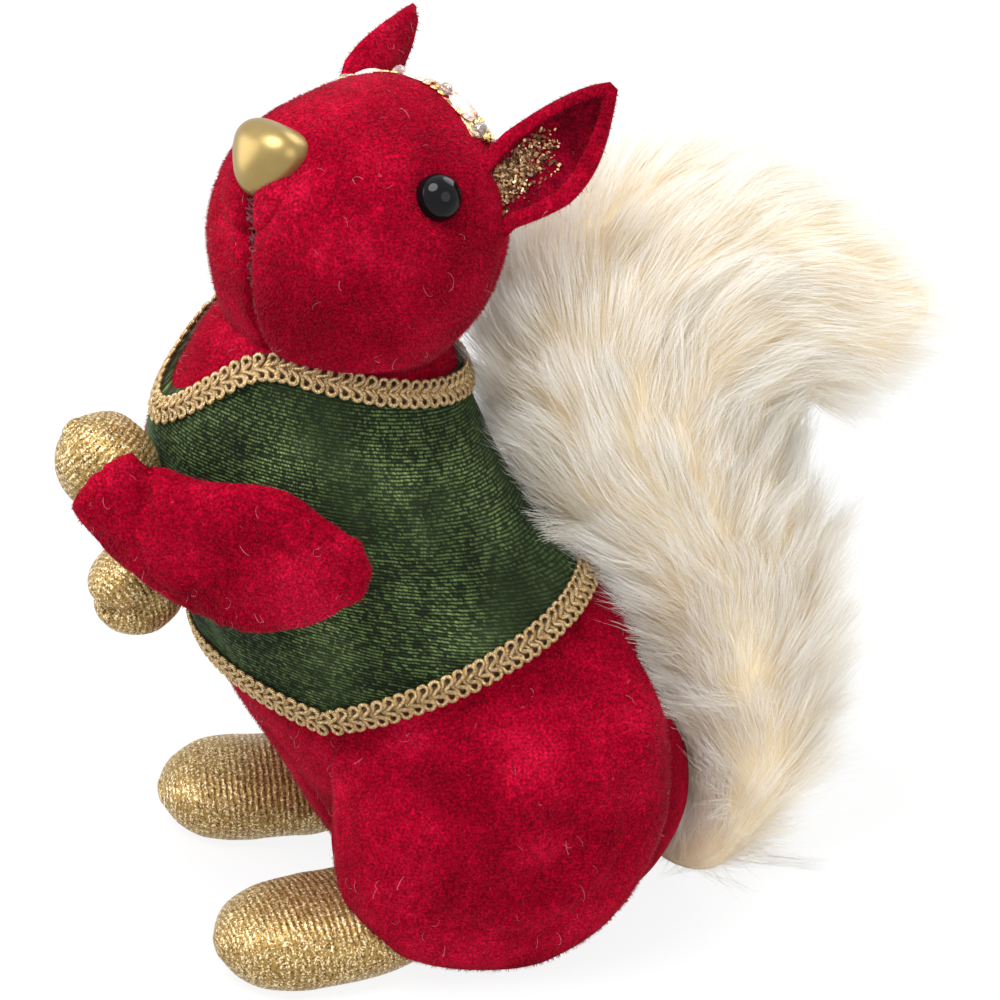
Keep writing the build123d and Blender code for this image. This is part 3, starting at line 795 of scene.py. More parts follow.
class FinishSheet(NodeSheet):
    """Lays out one material around a principled shader."""

    def __init__(self, name: str) -> None:
        """New material with an empty sheet."""
        self.material = bpy.data.materials.new(name)
        self.material.use_nodes = True
        super().__init__(self.material.node_tree)
        self.tree.nodes.clear()
        self.where = self.add("ShaderNodeTexCoord").outputs

    def noise(self, scale: float, detail: float = 2.0, source: str = "Object") -> bpy.types.NodeSocket:
        """Fractal noise value."""
        inputs = {"Vector": self.where[source], "Scale": scale, "Detail": detail}
        return self.add("ShaderNodeTexNoise", inputs).outputs["Fac"]

    def ramp(self, value: bpy.types.NodeSocket, stops: list) -> bpy.types.NodeSocket:
        """Colour ramp; stops are pairs of place and colour."""
        node = self.add("ShaderNodeValToRGB", {"Fac": value})
        while len(node.color_ramp.elements) < len(stops):
            node.color_ramp.elements.new(0.5)
        for element, (place, colour) in zip(node.color_ramp.elements, stops):
            element.position = place
            element.color = (*colour, 1.0)
        return node.outputs["Color"]

    def mix(self, share: object, first: object, second: object, blend: str = "MIX") -> bpy.types.NodeSocket:
        """Mix of two colours."""
        inputs = {0: share}
        node = self.add("ShaderNodeMix", inputs, data_type="RGBA", blend_type=blend)
        for place, value in ((6, first), (7, second)):
            if isinstance(value, bpy.types.NodeSocket):
                self.tree.links.new(value, node.inputs[place])
            else:
                node.inputs[place].default_value = (*value, 1.0)
        return node.outputs[2]

    def bump(self, height: bpy.types.NodeSocket, strength: float, distance: float, under: object = None) -> bpy.types.NodeSocket:
        """Normal from a height."""
        inputs = {"Height": height, "Strength": strength, "Distance": distance}
        if under is not None:
            inputs["Normal"] = under
        return self.add("ShaderNodeBump", inputs).outputs["Normal"]

    def close(self, **inputs: object) -> bpy.types.Material:
        """End the sheet in a principled shader.

        Args:
            inputs: socket values by name, with _ for spaces.

        Returns:
            The material.
        """
        values = {key.replace("_", " "): value for key, value in inputs.items()}
        for key, value in values.items():
            if isinstance(value, tuple) and len(value) == 3:
                values[key] = (*value, 1.0)
        shader = self.add("ShaderNodeBsdfPrincipled", values)
        self.add("ShaderNodeOutputMaterial", {"Surface": shader.outputs["BSDF"]})
        return self.material


@dataclass(frozen=True)
class VelvetFinish:
    """Pile velvet: mottled nap, fine grain and a pale sheen along turned edges."""

    name: str
    deep: tuple
    plain: tuple
    brushed: tuple
    sheen_tint: tuple
    sheen: float = 0.12
    mottle: float = 48.0
    crush: float = 600.0
    grain: float = 1700.0
    row_pitch: float = 0.0009

    def make(self) -> bpy.types.Material:
        """Build the material."""
        sheet = FinishSheet(self.name)
        crushed = sheet.noise(self.crush, 3.0)
        mottle = sheet.number("MULTIPLY", sheet.noise(self.mottle, 3.0), 0.72)
        level = sheet.number("ADD", mottle, sheet.number("MULTIPLY", crushed, 0.28))
        colour = sheet.ramp(level, [(0.38, self.deep), (0.5, self.plain), (0.63, self.brushed)])
        grain = sheet.noise(self.grain, 2.0)
        grainy = sheet.ramp(grain, [(0.32, (0.45, 0.45, 0.45)), (0.52, (0.95, 0.95, 0.95)), (0.68, (1.7, 1.7, 1.7))])
        colour = sheet.mix(0.85, colour, grainy, "MULTIPLY")
        split = sheet.add("ShaderNodeSeparateXYZ", {"Vector": sheet.where["Object"]})
        level = sheet.number("ADD", split.outputs["Z"], sheet.number("MULTIPLY", sheet.noise(90.0, 2.0), 0.006))
        rows = sheet.number("SINE", sheet.number("MULTIPLY", level, 2 * math.pi / self.row_pitch))
        woven = sheet.ramp(rows, [(0.0, (1.0, 1.0, 1.0)), (1.0, (1.16, 1.16, 1.16))])
        colour = sheet.mix(1.0, colour, woven, "MULTIPLY")
        normal = sheet.bump(crushed, 0.25, 0.0012, sheet.bump(grain, 0.4, 0.0005))
        return sheet.close(
            Base_Color=colour,
            Roughness=0.95,
            Specular_IOR_Level=0.03,
            Sheen_Weight=self.sheen,
            Sheen_Roughness=0.35,
            Sheen_Tint=self.sheen_tint,
            Normal=normal,
        )


@dataclass(frozen=True)
class RibbedVelvetFinish:
    """Velvet woven in fine rows with painted highlights on the rib tops and painted shade in the gaps, smooth where the
    pile is brushed flat.
    """

    name: str
    deep: tuple
    plain: tuple
    brushed: tuple
    pitch: float = 0.078
    dash: float = 0.085

    def make(self) -> bpy.types.Material:
        """Build the material; the map of the cloth is in centimetres."""
        sheet = FinishSheet(self.name)
        split = sheet.add("ShaderNodeSeparateXYZ", {"Vector": sheet.where["UV"]})
        wander = sheet.number("MULTIPLY", sheet.noise(220.0, 2.0), 0.06)
        row = sheet.number("DIVIDE", sheet.number("ADD", split.outputs["Y"], wander), self.pitch)
        row_index = sheet.number("FLOOR", row)
        shift = sheet.number("MULTIPLY", row_index, 0.37)
        dash = sheet.number("ADD", sheet.number("DIVIDE", split.outputs["X"], self.dash), shift)
        dash = sheet.number("ADD", dash, sheet.number("MULTIPLY", sheet.noise(700.0, 1.0), 2.5))
        cell = sheet.add("ShaderNodeCombineXYZ", {"X": sheet.number("FLOOR", dash), "Y": row_index})
        chance = sheet.add("ShaderNodeTexWhiteNoise", {"Vector": cell.outputs["Vector"]}, noise_dimensions="2D")
        ridge = sheet.number("SINE", sheet.number("MULTIPLY", sheet.number("FRACT", row), math.pi))
        length = sheet.number("SINE", sheet.number("MULTIPLY", sheet.number("FRACT", dash), math.pi))
        rib = sheet.number("MULTIPLY", ridge, sheet.number("POWER", length, 0.3))
        rib = sheet.number("MULTIPLY", rib, sheet.number("MULTIPLY_ADD", chance.outputs["Value"], 0.7))
        rib.node.inputs[1].links[0].from_node.inputs[2].default_value = 0.3
        brushed = sheet.ramp(sheet.noise(30.0, 2.0), [(0.46, (1, 1, 1)), (0.64, (0.3, 0.3, 0.3))])
        mottle = sheet.noise(52.0, 4.0)
        colour = sheet.ramp(mottle, [(0.34, self.deep), (0.5, self.plain), (0.66, self.brushed)])
        # The rib ramp is painted light: painted shade in the gaps between the dashes and a painted highlight on their
        # tops.
        shade = sheet.ramp(rib, [(0.0, (0.06, 0.06, 0.06)), (0.32, (0.6, 0.6, 0.6)), (0.86, (5.4, 5.2, 4.3))])
        share = sheet.number("MULTIPLY", sheet.add("ShaderNodeRGBToBW", {"Color": brushed}).outputs["Val"], 0.95)
        colour = sheet.mix(share, colour, sheet.mix(1.0, colour, shade, "MULTIPLY"))
        return sheet.close(
            Base_Color=colour,
            Roughness=0.85,
            Specular_IOR_Level=0.12,
            Sheen_Weight=0.14,
            Sheen_Roughness=0.3,
            Sheen_Tint=(0.5, 0.8, 0.4),
            Normal=sheet.bump(rib, 0.6, 0.0005),
        )


@dataclass(frozen=True)
class KnitFinish:
    """Metallic knit in rows of small stitches, with painted glints on some and painted shade in the gaps."""

    name: str
    dark: tuple
    gold: tuple
    bright: tuple
    pitch: float = 0.15

    def make(self) -> bpy.types.Material:
        """Build the material; the map of the cloth is in centimetres."""
        sheet = FinishSheet(self.name)
        split = sheet.add("ShaderNodeSeparateXYZ", {"Vector": sheet.where["UV"]})
        wander = sheet.number("MULTIPLY", sheet.noise(260.0, 2.0), 0.10)
        rows = sheet.number("ADD", split.outputs["Y"], wander)
        wave = sheet.number("SINE", sheet.number("MULTIPLY", rows, 2 * math.pi / self.pitch))
        cells = sheet.add(
            "ShaderNodeTexVoronoi", {"Vector": sheet.where["Object"], "Scale": 2800.0, "Randomness": 0.95}, feature="F1"
        )
        spark = sheet.add("ShaderNodeSeparateColor", {"Color": cells.outputs["Color"]}).outputs["Red"]
        level = sheet.number("ADD", sheet.number("MULTIPLY", wave, 0.11), spark)
        # Low cells on this ramp are painted shade for the gaps between stitches, high cells are painted glints.
        colour = sheet.ramp(
            level, [(0.0, self.dark), (0.36, self.gold), (0.7, self.gold), (0.94, self.bright)]
        )
        height = sheet.number("ADD", sheet.number("MULTIPLY", wave, 0.28), sheet.number("MULTIPLY", spark, 1.5))
        return sheet.close(
            Base_Color=colour,
            Metallic=0.65,
            Roughness=0.45,
            Normal=sheet.bump(height, 0.7, 0.0004),
        )


@dataclass(frozen=True)
class CordFinish:
    """Twisted metallic cord with a pale core thread, painted shade in the grooves of its twist and a painted highlight.
    """

    name: str
    gold: tuple
    shade: tuple
    thread: tuple

    def make(self) -> bpy.types.Material:
        """Build the material; the map runs along and around the cord."""
        sheet = FinishSheet(self.name)
        split = sheet.add("ShaderNodeSeparateXYZ", {"Vector": sheet.where["UV"]})
        twist = sheet.number("ADD", sheet.number("MULTIPLY", split.outputs["X"], 1.5), split.outputs["Y"])
        ply = sheet.number("SINE", sheet.number("MULTIPLY", twist, 4 * math.pi))
        fine = sheet.noise(2200.0, 2.0)
        level = sheet.number("ADD", sheet.number("MULTIPLY", ply, 0.30), fine)
        # The shade stop is painted shade in the grooves of the twist; the thread stop is the pale core thread and also
        # a painted highlight.
        colour = sheet.ramp(level, [(0.22, self.shade), (0.45, self.gold), (0.62, self.gold), (0.8, self.thread)])
        return sheet.close(
            Base_Color=colour,
            Metallic=0.75,
            Roughness=0.30,
            Normal=sheet.bump(level, 0.7, 0.0003),
        )


@dataclass(frozen=True)
class StrandFinish:
    """Fur or fibre strands, darker at the root, each with its own tone, and an optional painted glow for light
    scattered through them.
    """

    name: str
    root: tuple
    middle: tuple
    tip: tuple
    spread: float = 0.16
    sheen: float = 0.1
    glow: float = 0.0

    def make(self) -> bpy.types.Material:
        """Build the material from the strand's own attributes."""
        sheet = FinishSheet(self.name)
        along = sheet.add("ShaderNodeAttribute", attribute_name="along").outputs["Fac"]
        tone = sheet.add("ShaderNodeAttribute", attribute_name="tone").outputs["Fac"]
        patch = sheet.noise(38.0, 2.0)
        level = sheet.number("ADD", along, sheet.number("MULTIPLY", sheet.number("SUBTRACT", patch, 0.5), 0.5))
        colour = sheet.ramp(level, [(0.0, self.root), (0.4, self.middle), (0.85, self.tip)])
        low, high = 1 - self.spread, 1 + self.spread * 0.4
        shade = sheet.ramp(tone, [(0.0, (low, low, low)), (1.0, (high, high, high))])
        colour = sheet.mix(1.0, colour, shade, "MULTIPLY")
        return sheet.close(
            Base_Color=colour,
            Roughness=0.7,
            Specular_IOR_Level=0.15,
            Sheen_Weight=self.sheen,
            Sheen_Roughness=0.4,
            # The emission is a painted glow for light scattered through the strands.
            Emission_Color=self.middle,
            Emission_Strength=self.glow,
        )


@dataclass(frozen=True)
class HardFinish:
    """Moulded or metallised hard piece with faint wear."""

    name: str
    colour: tuple
    worn: tuple
    metal: float = 0.0
    rough: float = 0.25
    coat: float = 0.0
    clear: float = 0.0
    toned: bool = False
    shine: float = 0.5
    between: tuple | None = None

    def make(self) -> bpy.types.Material:
        """Build the material."""
        sheet = FinishSheet(self.name)
        level = sheet.noise(160.0, 4.0)
        if self.toned:
            level = sheet.add("ShaderNodeAttribute", attribute_name="tone").outputs["Fac"]
        stops = [(0.3, self.colour), (0.75, self.worn)]
        if self.between is not None:
            stops.insert(1, (0.5, self.between))
        colour = sheet.ramp(level, stops)
        fine = sheet.noise(700.0, 2.0)
        rough = sheet.number("MULTIPLY_ADD", fine, 0.12)
        rough.node.inputs[2].default_value = max(self.rough - 0.06, 0.02)
        return sheet.close(
            Base_Color=colour,
            Metallic=self.metal,
            Roughness=rough,
            Specular_IOR_Level=self.shine,
            Coat_Weight=self.coat,
            Coat_Roughness=0.04,
            Transmission_Weight=self.clear,
            IOR=1.5,
            Normal=sheet.bump(fine, 0.05, 0.0002),
        )


class Finishes:
    """All finishes of the ornament, made once."""

    def __init__(self) -> None:
        """Build every material."""
        self.red = VelvetFinish(
            "red_velvet", (0.15, 0.0, 0.007), (0.245, 0.0004, 0.0115), (0.36, 0.003, 0.023), (1.0, 0.10, 0.16), 0.06
        ).make()
        # The ear lining is a darker copy of the red velvet: painted shade for the hollow of the cup.
        self.lining = VelvetFinish(
            "ear_lining", (0.05, 0.0, 0.003), (0.11, 0.0002, 0.006), (0.19, 0.001, 0.012), (1.0, 0.10, 0.16), 0.02
        ).make()
        self.green = RibbedVelvetFinish(
            "green_velvet", (0.0075, 0.0135, 0.005), (0.017, 0.029, 0.010), (0.036, 0.056, 0.022)
        ).make()
        self.knit = KnitFinish(
            "gold_knit", (0.088, 0.042, 0.008), (0.335, 0.210, 0.058), (0.84, 0.70, 0.43)
        ).make()
        self.cord = CordFinish(
            "gold_cord", (0.60, 0.375, 0.118), (0.060, 0.028, 0.006), (0.92, 0.76, 0.52)
        ).make()
        # The braid backing is darker than the strip itself: painted shade for the gaps between the cord loops.
        self.backing = CordFinish(
            "braid_backing", (0.16, 0.09, 0.05), (0.06, 0.03, 0.015), (0.34, 0.24, 0.17)
        ).make()
        # Fur and backing get a faint painted glow that stands in for light scattered through the strands.
        self.fur = StrandFinish(
            "cream_fur", (0.90, 0.765, 0.54), (0.945, 0.90, 0.805), (0.925, 0.912, 0.88), 0.07, 0.0, 0.03
        ).make()
        self.fur_skin = StrandFinish(
            "fur_backing", (0.90, 0.76, 0.52), (0.92, 0.79, 0.57), (0.94, 0.82, 0.62), 0.08, 0.0, 0.03
        ).make()
        self.pile = StrandFinish(
            "red_pile", (0.17, 0.0003, 0.008), (0.25, 0.0008, 0.013), (0.36, 0.005, 0.028), 0.28, 0.04
        ).make()
        self.lint = StrandFinish("lint", (0.42, 0.10, 0.13), (0.60, 0.26, 0.28), (0.72, 0.45, 0.45)).make()
        self.nose = HardFinish("satin_gold", (0.335, 0.240, 0.088), (0.30, 0.212, 0.074), 0.80, 0.36).make()
        self.eye = HardFinish("black_eye", (0.002, 0.002, 0.003), (0.004, 0.004, 0.005), 0.0, 0.08, shine=0.16).make()
        self.flakes = HardFinish(
            "bronze_flakes", (0.055, 0.022, 0.007), (0.74, 0.52, 0.27), 0.4, 0.40, toned=True, between=(0.24, 0.10, 0.028)
        ).make()
        self.stone = HardFinish("pink_stone", (0.76, 0.56, 0.50), (0.84, 0.68, 0.62), 0.0, 0.15, 0.4, 0.15).make()
        self.crystal = HardFinish("clear_crystal", (0.92, 0.90, 0.90), (0.98, 0.96, 0.96), 0.0, 0.06, 0.5, 0.85).make()
        self.bead = HardFinish("gold_bead", (0.66, 0.44, 0.14), (0.80, 0.60, 0.26), 1.0, 0.22).make()
        self.ribbon = CordFinish("gold_ribbon", (0.50, 0.34, 0.14), (0.22, 0.13, 0.05), (0.62, 0.52, 0.44)).make()
        self.stitch = StrandFinish("seam_thread", (0.10, 0.006, 0.012), (0.16, 0.012, 0.02), (0.24, 0.03, 0.04)).make()
        # The frayed seam thread is this dark partly as painted shade in the chin seam's groove.
        self.fray = StrandFinish("frayed_thread", (0.05, 0.004, 0.011), (0.085, 0.009, 0.020), (0.13, 0.018, 0.032)).make()
        self.stuffing = VelvetFinish(
            "stuffing", (0.62, 0.60, 0.55), (0.75, 0.73, 0.68), (0.85, 0.83, 0.80), (1.0, 1.0, 1.0)
        ).make()
        self.wood = HardFinish("dowel_wood", (0.42, 0.26, 0.12), (0.56, 0.38, 0.20), 0.0, 0.6).make()
        self.board = HardFinish("seat_board", (0.36, 0.30, 0.22), (0.44, 0.38, 0.30), 0.0, 0.75).make()
        self.wire = HardFinish("steel_wire", (0.45, 0.45, 0.46), (0.55, 0.55, 0.56), 1.0, 0.35).make()


@dataclass
class Workshop:
    """Finishes, node tools and unit shapes that all sub-assemblies share."""

    finishes: Finishes = field(default_factory=Finishes)
    placed: NodeTool = field(default_factory=placed_tool)
    strands: NodeTool = field(default_factory=strand_tool)
    nap: bpy.types.Object = field(default_factory=lambda: tapered_strand("nap_fibre", 1, 0.10, 25.0))
    lint: bpy.types.Object = field(default_factory=lambda: tapered_strand("lint_fibre", 6, 0.06, 190.0, 6.0))
    lint_each: float = 0.013
    hair: bpy.types.Object = field(default_factory=lambda: tapered_strand("tail_hair", 3, 0.0027, 34.0))

    def grow_nap(
        self,
        skin: bpy.types.Object,
        finish: bpy.types.Material,
        slot: str,
        each: float,
        length: float,
        seed: int,
        bare: np.ndarray | None = None,
    ) -> bpy.types.Object:
        """Short pile on a velvet piece.

        Args:
            skin: the velvet piece.
            finish: finish of the pile.
            slot: not used.
            each: fibres on a square millimetre.
            length: length of a fibre in millimetres.
            seed: number that picks the places.
            bare: which vertices of the piece stay without pile, or None.

        Returns:
            The pile as one piece.
        """
        source = bpy.data.objects.new(skin.name + "_nap_source", skin.data.copy())
        count = len(source.data.vertices)
        places = vertex_places(skin)
        lie = np.stack([lattice_noise(places, 16.0, seed + axis) for axis in range(3)], axis=1)
        write_attribute(source.data, "comb", lie * 0.6 + np.array([0, 0, -0.5]))
        write_attribute(source.data, "reach", np.full(count, length * MM))
        if bare is not None:
            drop_vertices(source.data, bare)
        pile = self.strands.run(
            source,
            skin.name + "_nap",
            Unit=self.nap,
            Finish=finish,
            Density=each / MM**2,
            Lift=1.3,
            Stray=0.55,
            Tuft_Size=0.004,
            Tuft_Pull=0.0,
            Clump_Pull=0.0,
            Sway=0.0,
            Wave=0.0,
            Seed=seed,
        )
        lint = self.strands.run(
            source,
            skin.name + "_lint",
            Unit=self.lint,
            Finish=self.finishes.lint,
            Density=self.lint_each / MM**2,
            Lift=0.35,
            Stray=1.0,
            Tuft_Size=0.004,
            Tuft_Pull=0.0,
            Clump_Pull=0.0,
            Sway=0.0,
            Wave=0.006,
            Seed=seed + 7,
        )
        bpy.data.objects.remove(source)
        declare(pile)
        if len(lint.data.polygons):
            declare(lint)
        else:
            bpy.data.objects.remove(lint)
        return pile


def puff(piece: bpy.types.Object, pinned: np.ndarray, pressure: float, cap: float) -> None:
    """Blow a padded piece up a little as cloth, held along its seams.

    Args:
        piece: closed piece, a little smaller than the finished one.
        pinned: how firmly each vertex is held, from 0 to 1.
        pressure: pressure inside.
        cap: most that a vertex may move, in millimetres.
    """
    start = vertex_places(piece)
    group = piece.vertex_groups.new(name="seam")
    for index in np.nonzero(pinned > 0.02)[0]:
        group.add([int(index)], float(pinned[index]), "REPLACE")
    cloth = piece.modifiers.new("stuffing", "CLOTH")
    settings = cloth.settings
    settings.use_pressure = True
    settings.uniform_pressure_force = pressure
    settings.vertex_group_mass = group.name
    settings.effector_weights.gravity = 0
    settings.quality = 4
    settings.mass = 0.3
    settings.bending_stiffness = 0.5
    settings.shrink_min = -0.04
    scene = bpy.context.scene
    cloth.point_cache.frame_start = 1
    cloth.point_cache.frame_end = 12
    for step in range(1, 13):
        scene.frame_set(step)
    graph = bpy.context.evaluated_depsgraph_get()
    blown = piece.evaluated_get(graph).to_mesh()
    flat = np.zeros(len(blown.vertices) * 3, dtype=np.float32)
    blown.vertices.foreach_get("co", flat)
    piece.evaluated_get(graph).to_mesh_clear()
    piece.modifiers.remove(cloth)
    piece.vertex_groups.clear()
    scene.frame_set(1)
    shift = flat.reshape(-1, 3) / MM - start
    shift = np.nan_to_num(shift)
    far = np.linalg.norm(shift, axis=1, keepdims=True)
    move_vertices(piece, start + shift * np.minimum(1, cap / np.maximum(far, 1e-9)))


# Sub-assemblies


@dataclass
class Body:
    """Stuffed body under the waistcoat, with its velvet nap."""

    shop: Workshop
    rows: int = 190
    columns: int = 220
    lump: float = 0.5
    crease_depth: float = 1.6

    def build(self) -> bpy.types.Object:
        """Velvet skin of the body."""
        rings = body_form().rings(self.rows, self.columns)
        piece = closed_rings("body_velvet", rings)
        places, normals = vertex_places(piece), vertex_normals(piece)
        lumps = swell(places, 26.0, 5) * self.lump
        crease = np.exp(-((places[:, 0] - 17 + 0.10 * places[:, 2]) / 2.2) ** 2)
        front = np.clip((-places[:, 1] - 30) / 12, 0, 1) * np.clip((62 - places[:, 2]) / 20, 0, 1)
        lumps -= crease * front * self.crease_depth
        low = np.clip(places[:, 2] / 10, 0, 1)
        places += normals * (lumps * low)[:, None]
        places[:, 2] = np.maximum(places[:, 2], 0)
        move_vertices(piece, places)
        return piece

    def dress(self) -> None:
        """Build the skin and its nap."""
        piece = self.build()
        put_on(piece, self.shop.finishes.red)
        declare(piece, ("body_cover_left", "body_cover_right", "seat_panel", "body_core"))
        places = vertex_places(piece)
        coat = Waistcoat(self.shop)
        over_hem = places[:, 2] > coat.edge_height(coat.hem, places[:, 1]) + 3
        under_neck = places[:, 2] < coat.edge_height(coat.neckline, places[:, 1]) - 3
        bare = (over_hem & under_neck) | (places[:, 2] < 1) | (places[:, 1] > 30)
        self.shop.grow_nap(piece, self.shop.finishes.pile, "red_velvet", 1.8, NAP_LENGTH, 11, bare)


@dataclass
class Waistcoat:
    """Green waistcoat on the body with a braid at the neck and the hem."""

    shop: Workshop
    columns: int = 320
    rows: int = 90
    lift: float = 1.2
    braid_lift: float = 0.7
    hem_width: float = 7.2
    neck_width: float = 6.8
    loop_pitch: float = 2.75
    cord_radius: float = 0.52
    backing_share: float = 0.33
    # The cut before it was sewn, in metres and square metres
    flat_cut: tuple = (0.290, 0.092)
    flat_area: float = 0.0178
    neckline: tuple = (
        (-0.85, 0.745), (-0.70, 0.868), (-0.60, 0.925), (-0.535, 0.940), (-0.46, 0.934), (-0.20, 0.885), (0.10, 0.835),
    )
    hem: tuple = ((-0.80, 0.48), (-0.60, 0.418), (-0.455, 0.385), (-0.10, 0.47), (0.45, 0.555))

    def edge_height(self, shares: tuple, y: np.ndarray) -> np.ndarray:
        """Height of an edge of the waistcoat in side view."""
        points = [(share_y * BODY_SIZE[1], share_z * BODY_SIZE[2]) for share_y, share_z in shares]
        inside = np.clip(y, points[0][0], points[-1][0])
        height = np.zeros_like(inside)
        for first in range(0, len(points) - 2, 2):
            start, middle, end = points[first : first + 3]
            height = np.where(inside >= start[0], arc_height(start, middle, end, inside), height)
        return height

    def panel(self, grow: float) -> np.ndarray:
        """Points of the waistcoat from hem to neckline.

        Args:
            grow: distance from the body's surface.

        Returns:
            An array of rows, columns and coordinates.
        """
        fine = body_form().rings(1400, self.columns, grow)
        out = np.zeros((self.rows, self.columns, 3))
        for column in range(self.columns):
            line = fine[:, column]
            over_hem = line[:, 2] - self.edge_height(self.hem, line[:, 1])
            over_neck = line[:, 2] - self.edge_height(self.neckline, line[:, 1])
            first = int(np.argmax(over_hem > 0))
            last = int(np.argmax(over_neck > 0)) or len(line) - 1
            spots = np.linspace(first, last, self.rows)
            low = np.floor(spots).astype(int)
            part = (spots - low)[:, None]
            high = np.minimum(low + 1, len(line) - 1)
            out[:, column] = line[low] * (1 - part) + line[high] * part
        return out

    def build_cloth(self) -> bpy.types.Object:
        """Waistcoat cloth with its turned edges."""
        outer, inner = self.panel(self.lift), self.panel(0.3)
        wrinkle = swell(outer, 13.0, 31, 2) * 0.28
        front = np.clip((-outer[..., 1] - 55) / 12, 0, 1)
        under_arm = np.clip((outer[..., 0] - 15) / 15, 0, 1) * np.exp(-((outer[..., 2] - 82) / 10) ** 2)
        fold = np.sin(outer[..., 0] * 0.42 + outer[..., 2] * 0.16) * front * 0.55
        fold += np.sin(outer[..., 1] * 0.30 + outer[..., 2] * 0.22) * under_arm * 0.40
        away = unit(outer - inner)
        rows, columns = outer.shape[:2]
        calm = np.clip(np.minimum(np.arange(rows), np.arange(rows)[::-1]) / 14, 0, 1)[:, None]
        outer = outer + away * ((wrinkle + fold) * calm)[..., None]
        girth = np.linalg.norm(np.diff(outer, axis=1, append=outer[:, :1]), axis=2).sum(axis=1).max()
        around = np.linspace(0, girth, columns, endpoint=False)
        height = outer[..., 2] + 0.22 * outer[..., 1]
        uv = np.stack([np.broadcast_to(around[None, :], height.shape), height], axis=-1) / 10
        points = np.concatenate([outer.reshape(-1, 3), inner.reshape(-1, 3)])
        faces = rings_to_faces(rows, columns).tolist()
        half = rows * columns
        faces += [[half + a, half + d, half + c, half + b] for a, b, c, d in faces]
        for column in range(columns):
            after = (column + 1) % columns
            faces.append([half + column, half + after, after, column])
            top = (rows - 1) * columns
            faces.append([top + column, top + after, half + top + after, half + top + column])
        piece = mesh_object("waistcoat_cloth", points, faces, np.concatenate([uv.reshape(-1, 2)] * 2))
        face_out(piece)
        return piece

    def loop_unit(self, width: float) -> bpy.types.Object:
        """One pair of teardrop cord loops, either side of the braid's middle line.

        Args:
            width: width of the braid.

        Returns:
            The unit, X along the braid, Y across it and Z out of the cloth.
        """
        radius = self.cord_radius
        reach = width / 2 - radius
        ring = reach * 0.36
        points, faces, maps, start = [], [], [], 0
        for way in (1, -1):
            centre = np.array([0.95, way * (reach - ring), 0.15])
            path = [np.array([-1.15, -way * 0.25, -0.15])]
            for part in np.linspace(0, 1, 9):
                angle = math.radians(205 - 290 * part)
                path.append(centre + np.array([ring * math.cos(angle), way * ring * math.sin(angle), 0.28 * part]))
            path.append(np.array([-0.35, way * 0.05, 0.55]))
            tube, quads, uv = tube_along(np.array(path), radius, 6)
            if way < 0:
                quads = [face[::-1] for face in quads]
            points.append(tube)
            maps.append(uv)
            faces += [[index + start for index in face] for face in quads]
            start += len(tube)
        unit_shape = unit_object(f"braid_loop_{width:.1f}", np.concatenate(points), faces, np.concatenate(maps))
        face_out(unit_shape)
        return unit_shape

    def edge_line(self, top: bool, width: float) -> tuple[np.ndarray, np.ndarray, np.ndarray]:
        """Middle line of a braid with its directions across and out of the cloth.

        Args:
            top: whether it runs along the neckline.
            width: width of the braid.

        Returns:
            Three arrays with one row for each column of the cloth.
        """
        cloth = self.panel(self.lift)
        row, inward_row = (-1, -10) if top else (0, 9)
        edge, inside = cloth[row], cloth[inward_row]
        ahead = unit(np.roll(edge, -1, axis=0) - np.roll(edge, 1, axis=0))
        across = inside - edge
        across = unit(across - ahead * np.sum(across * ahead, axis=1, keepdims=True))
        normal = unit(np.cross(ahead, across))
        outward = edge - np.array([0, 1.0, 1.0]) * edge.mean(axis=0)
        normal *= np.sign(np.sum(normal * outward, axis=1, keepdims=True))
        return edge + across * (width / 2 - 0.9) + normal * self.braid_lift, across, normal

    def build_backing(self, name: str, top: bool, width: float) -> bpy.types.Object:
        """Woven strip that the cord loops of a braid are worked on.

        Args:
            name: name of the piece.
            top: whether it runs along the neckline.
            width: width of the braid.

        Returns:
            The strip as one closed ring.
        """
        middle, across, normal = self.edge_line(top, width)
        half = width * self.backing_share
        section = ((-half, -0.7), (half, -0.7), (half, 0.0), (0.0, 0.25), (-half, 0.0))
        points = np.stack([middle + across * shift + normal * rise for shift, rise in section], axis=1)
        rows, columns = points.shape[:2]
        faces = rings_to_faces(rows, columns).tolist()
        last = (rows - 1) * columns
        for column in range(columns):
            after = (column + 1) % columns
            faces.append([last + column, last + after, after, column])
        travel = np.cumsum(np.linalg.norm(np.diff(middle, axis=0, prepend=middle[:1]), axis=1))
        uv = np.stack(np.broadcast_arrays(travel[:, None], np.arange(columns)[None, :] / columns), axis=-1)
        piece = mesh_object(name, points.reshape(-1, 3), faces, uv.reshape(-1, 2))
        face_out(piece)
        return piece

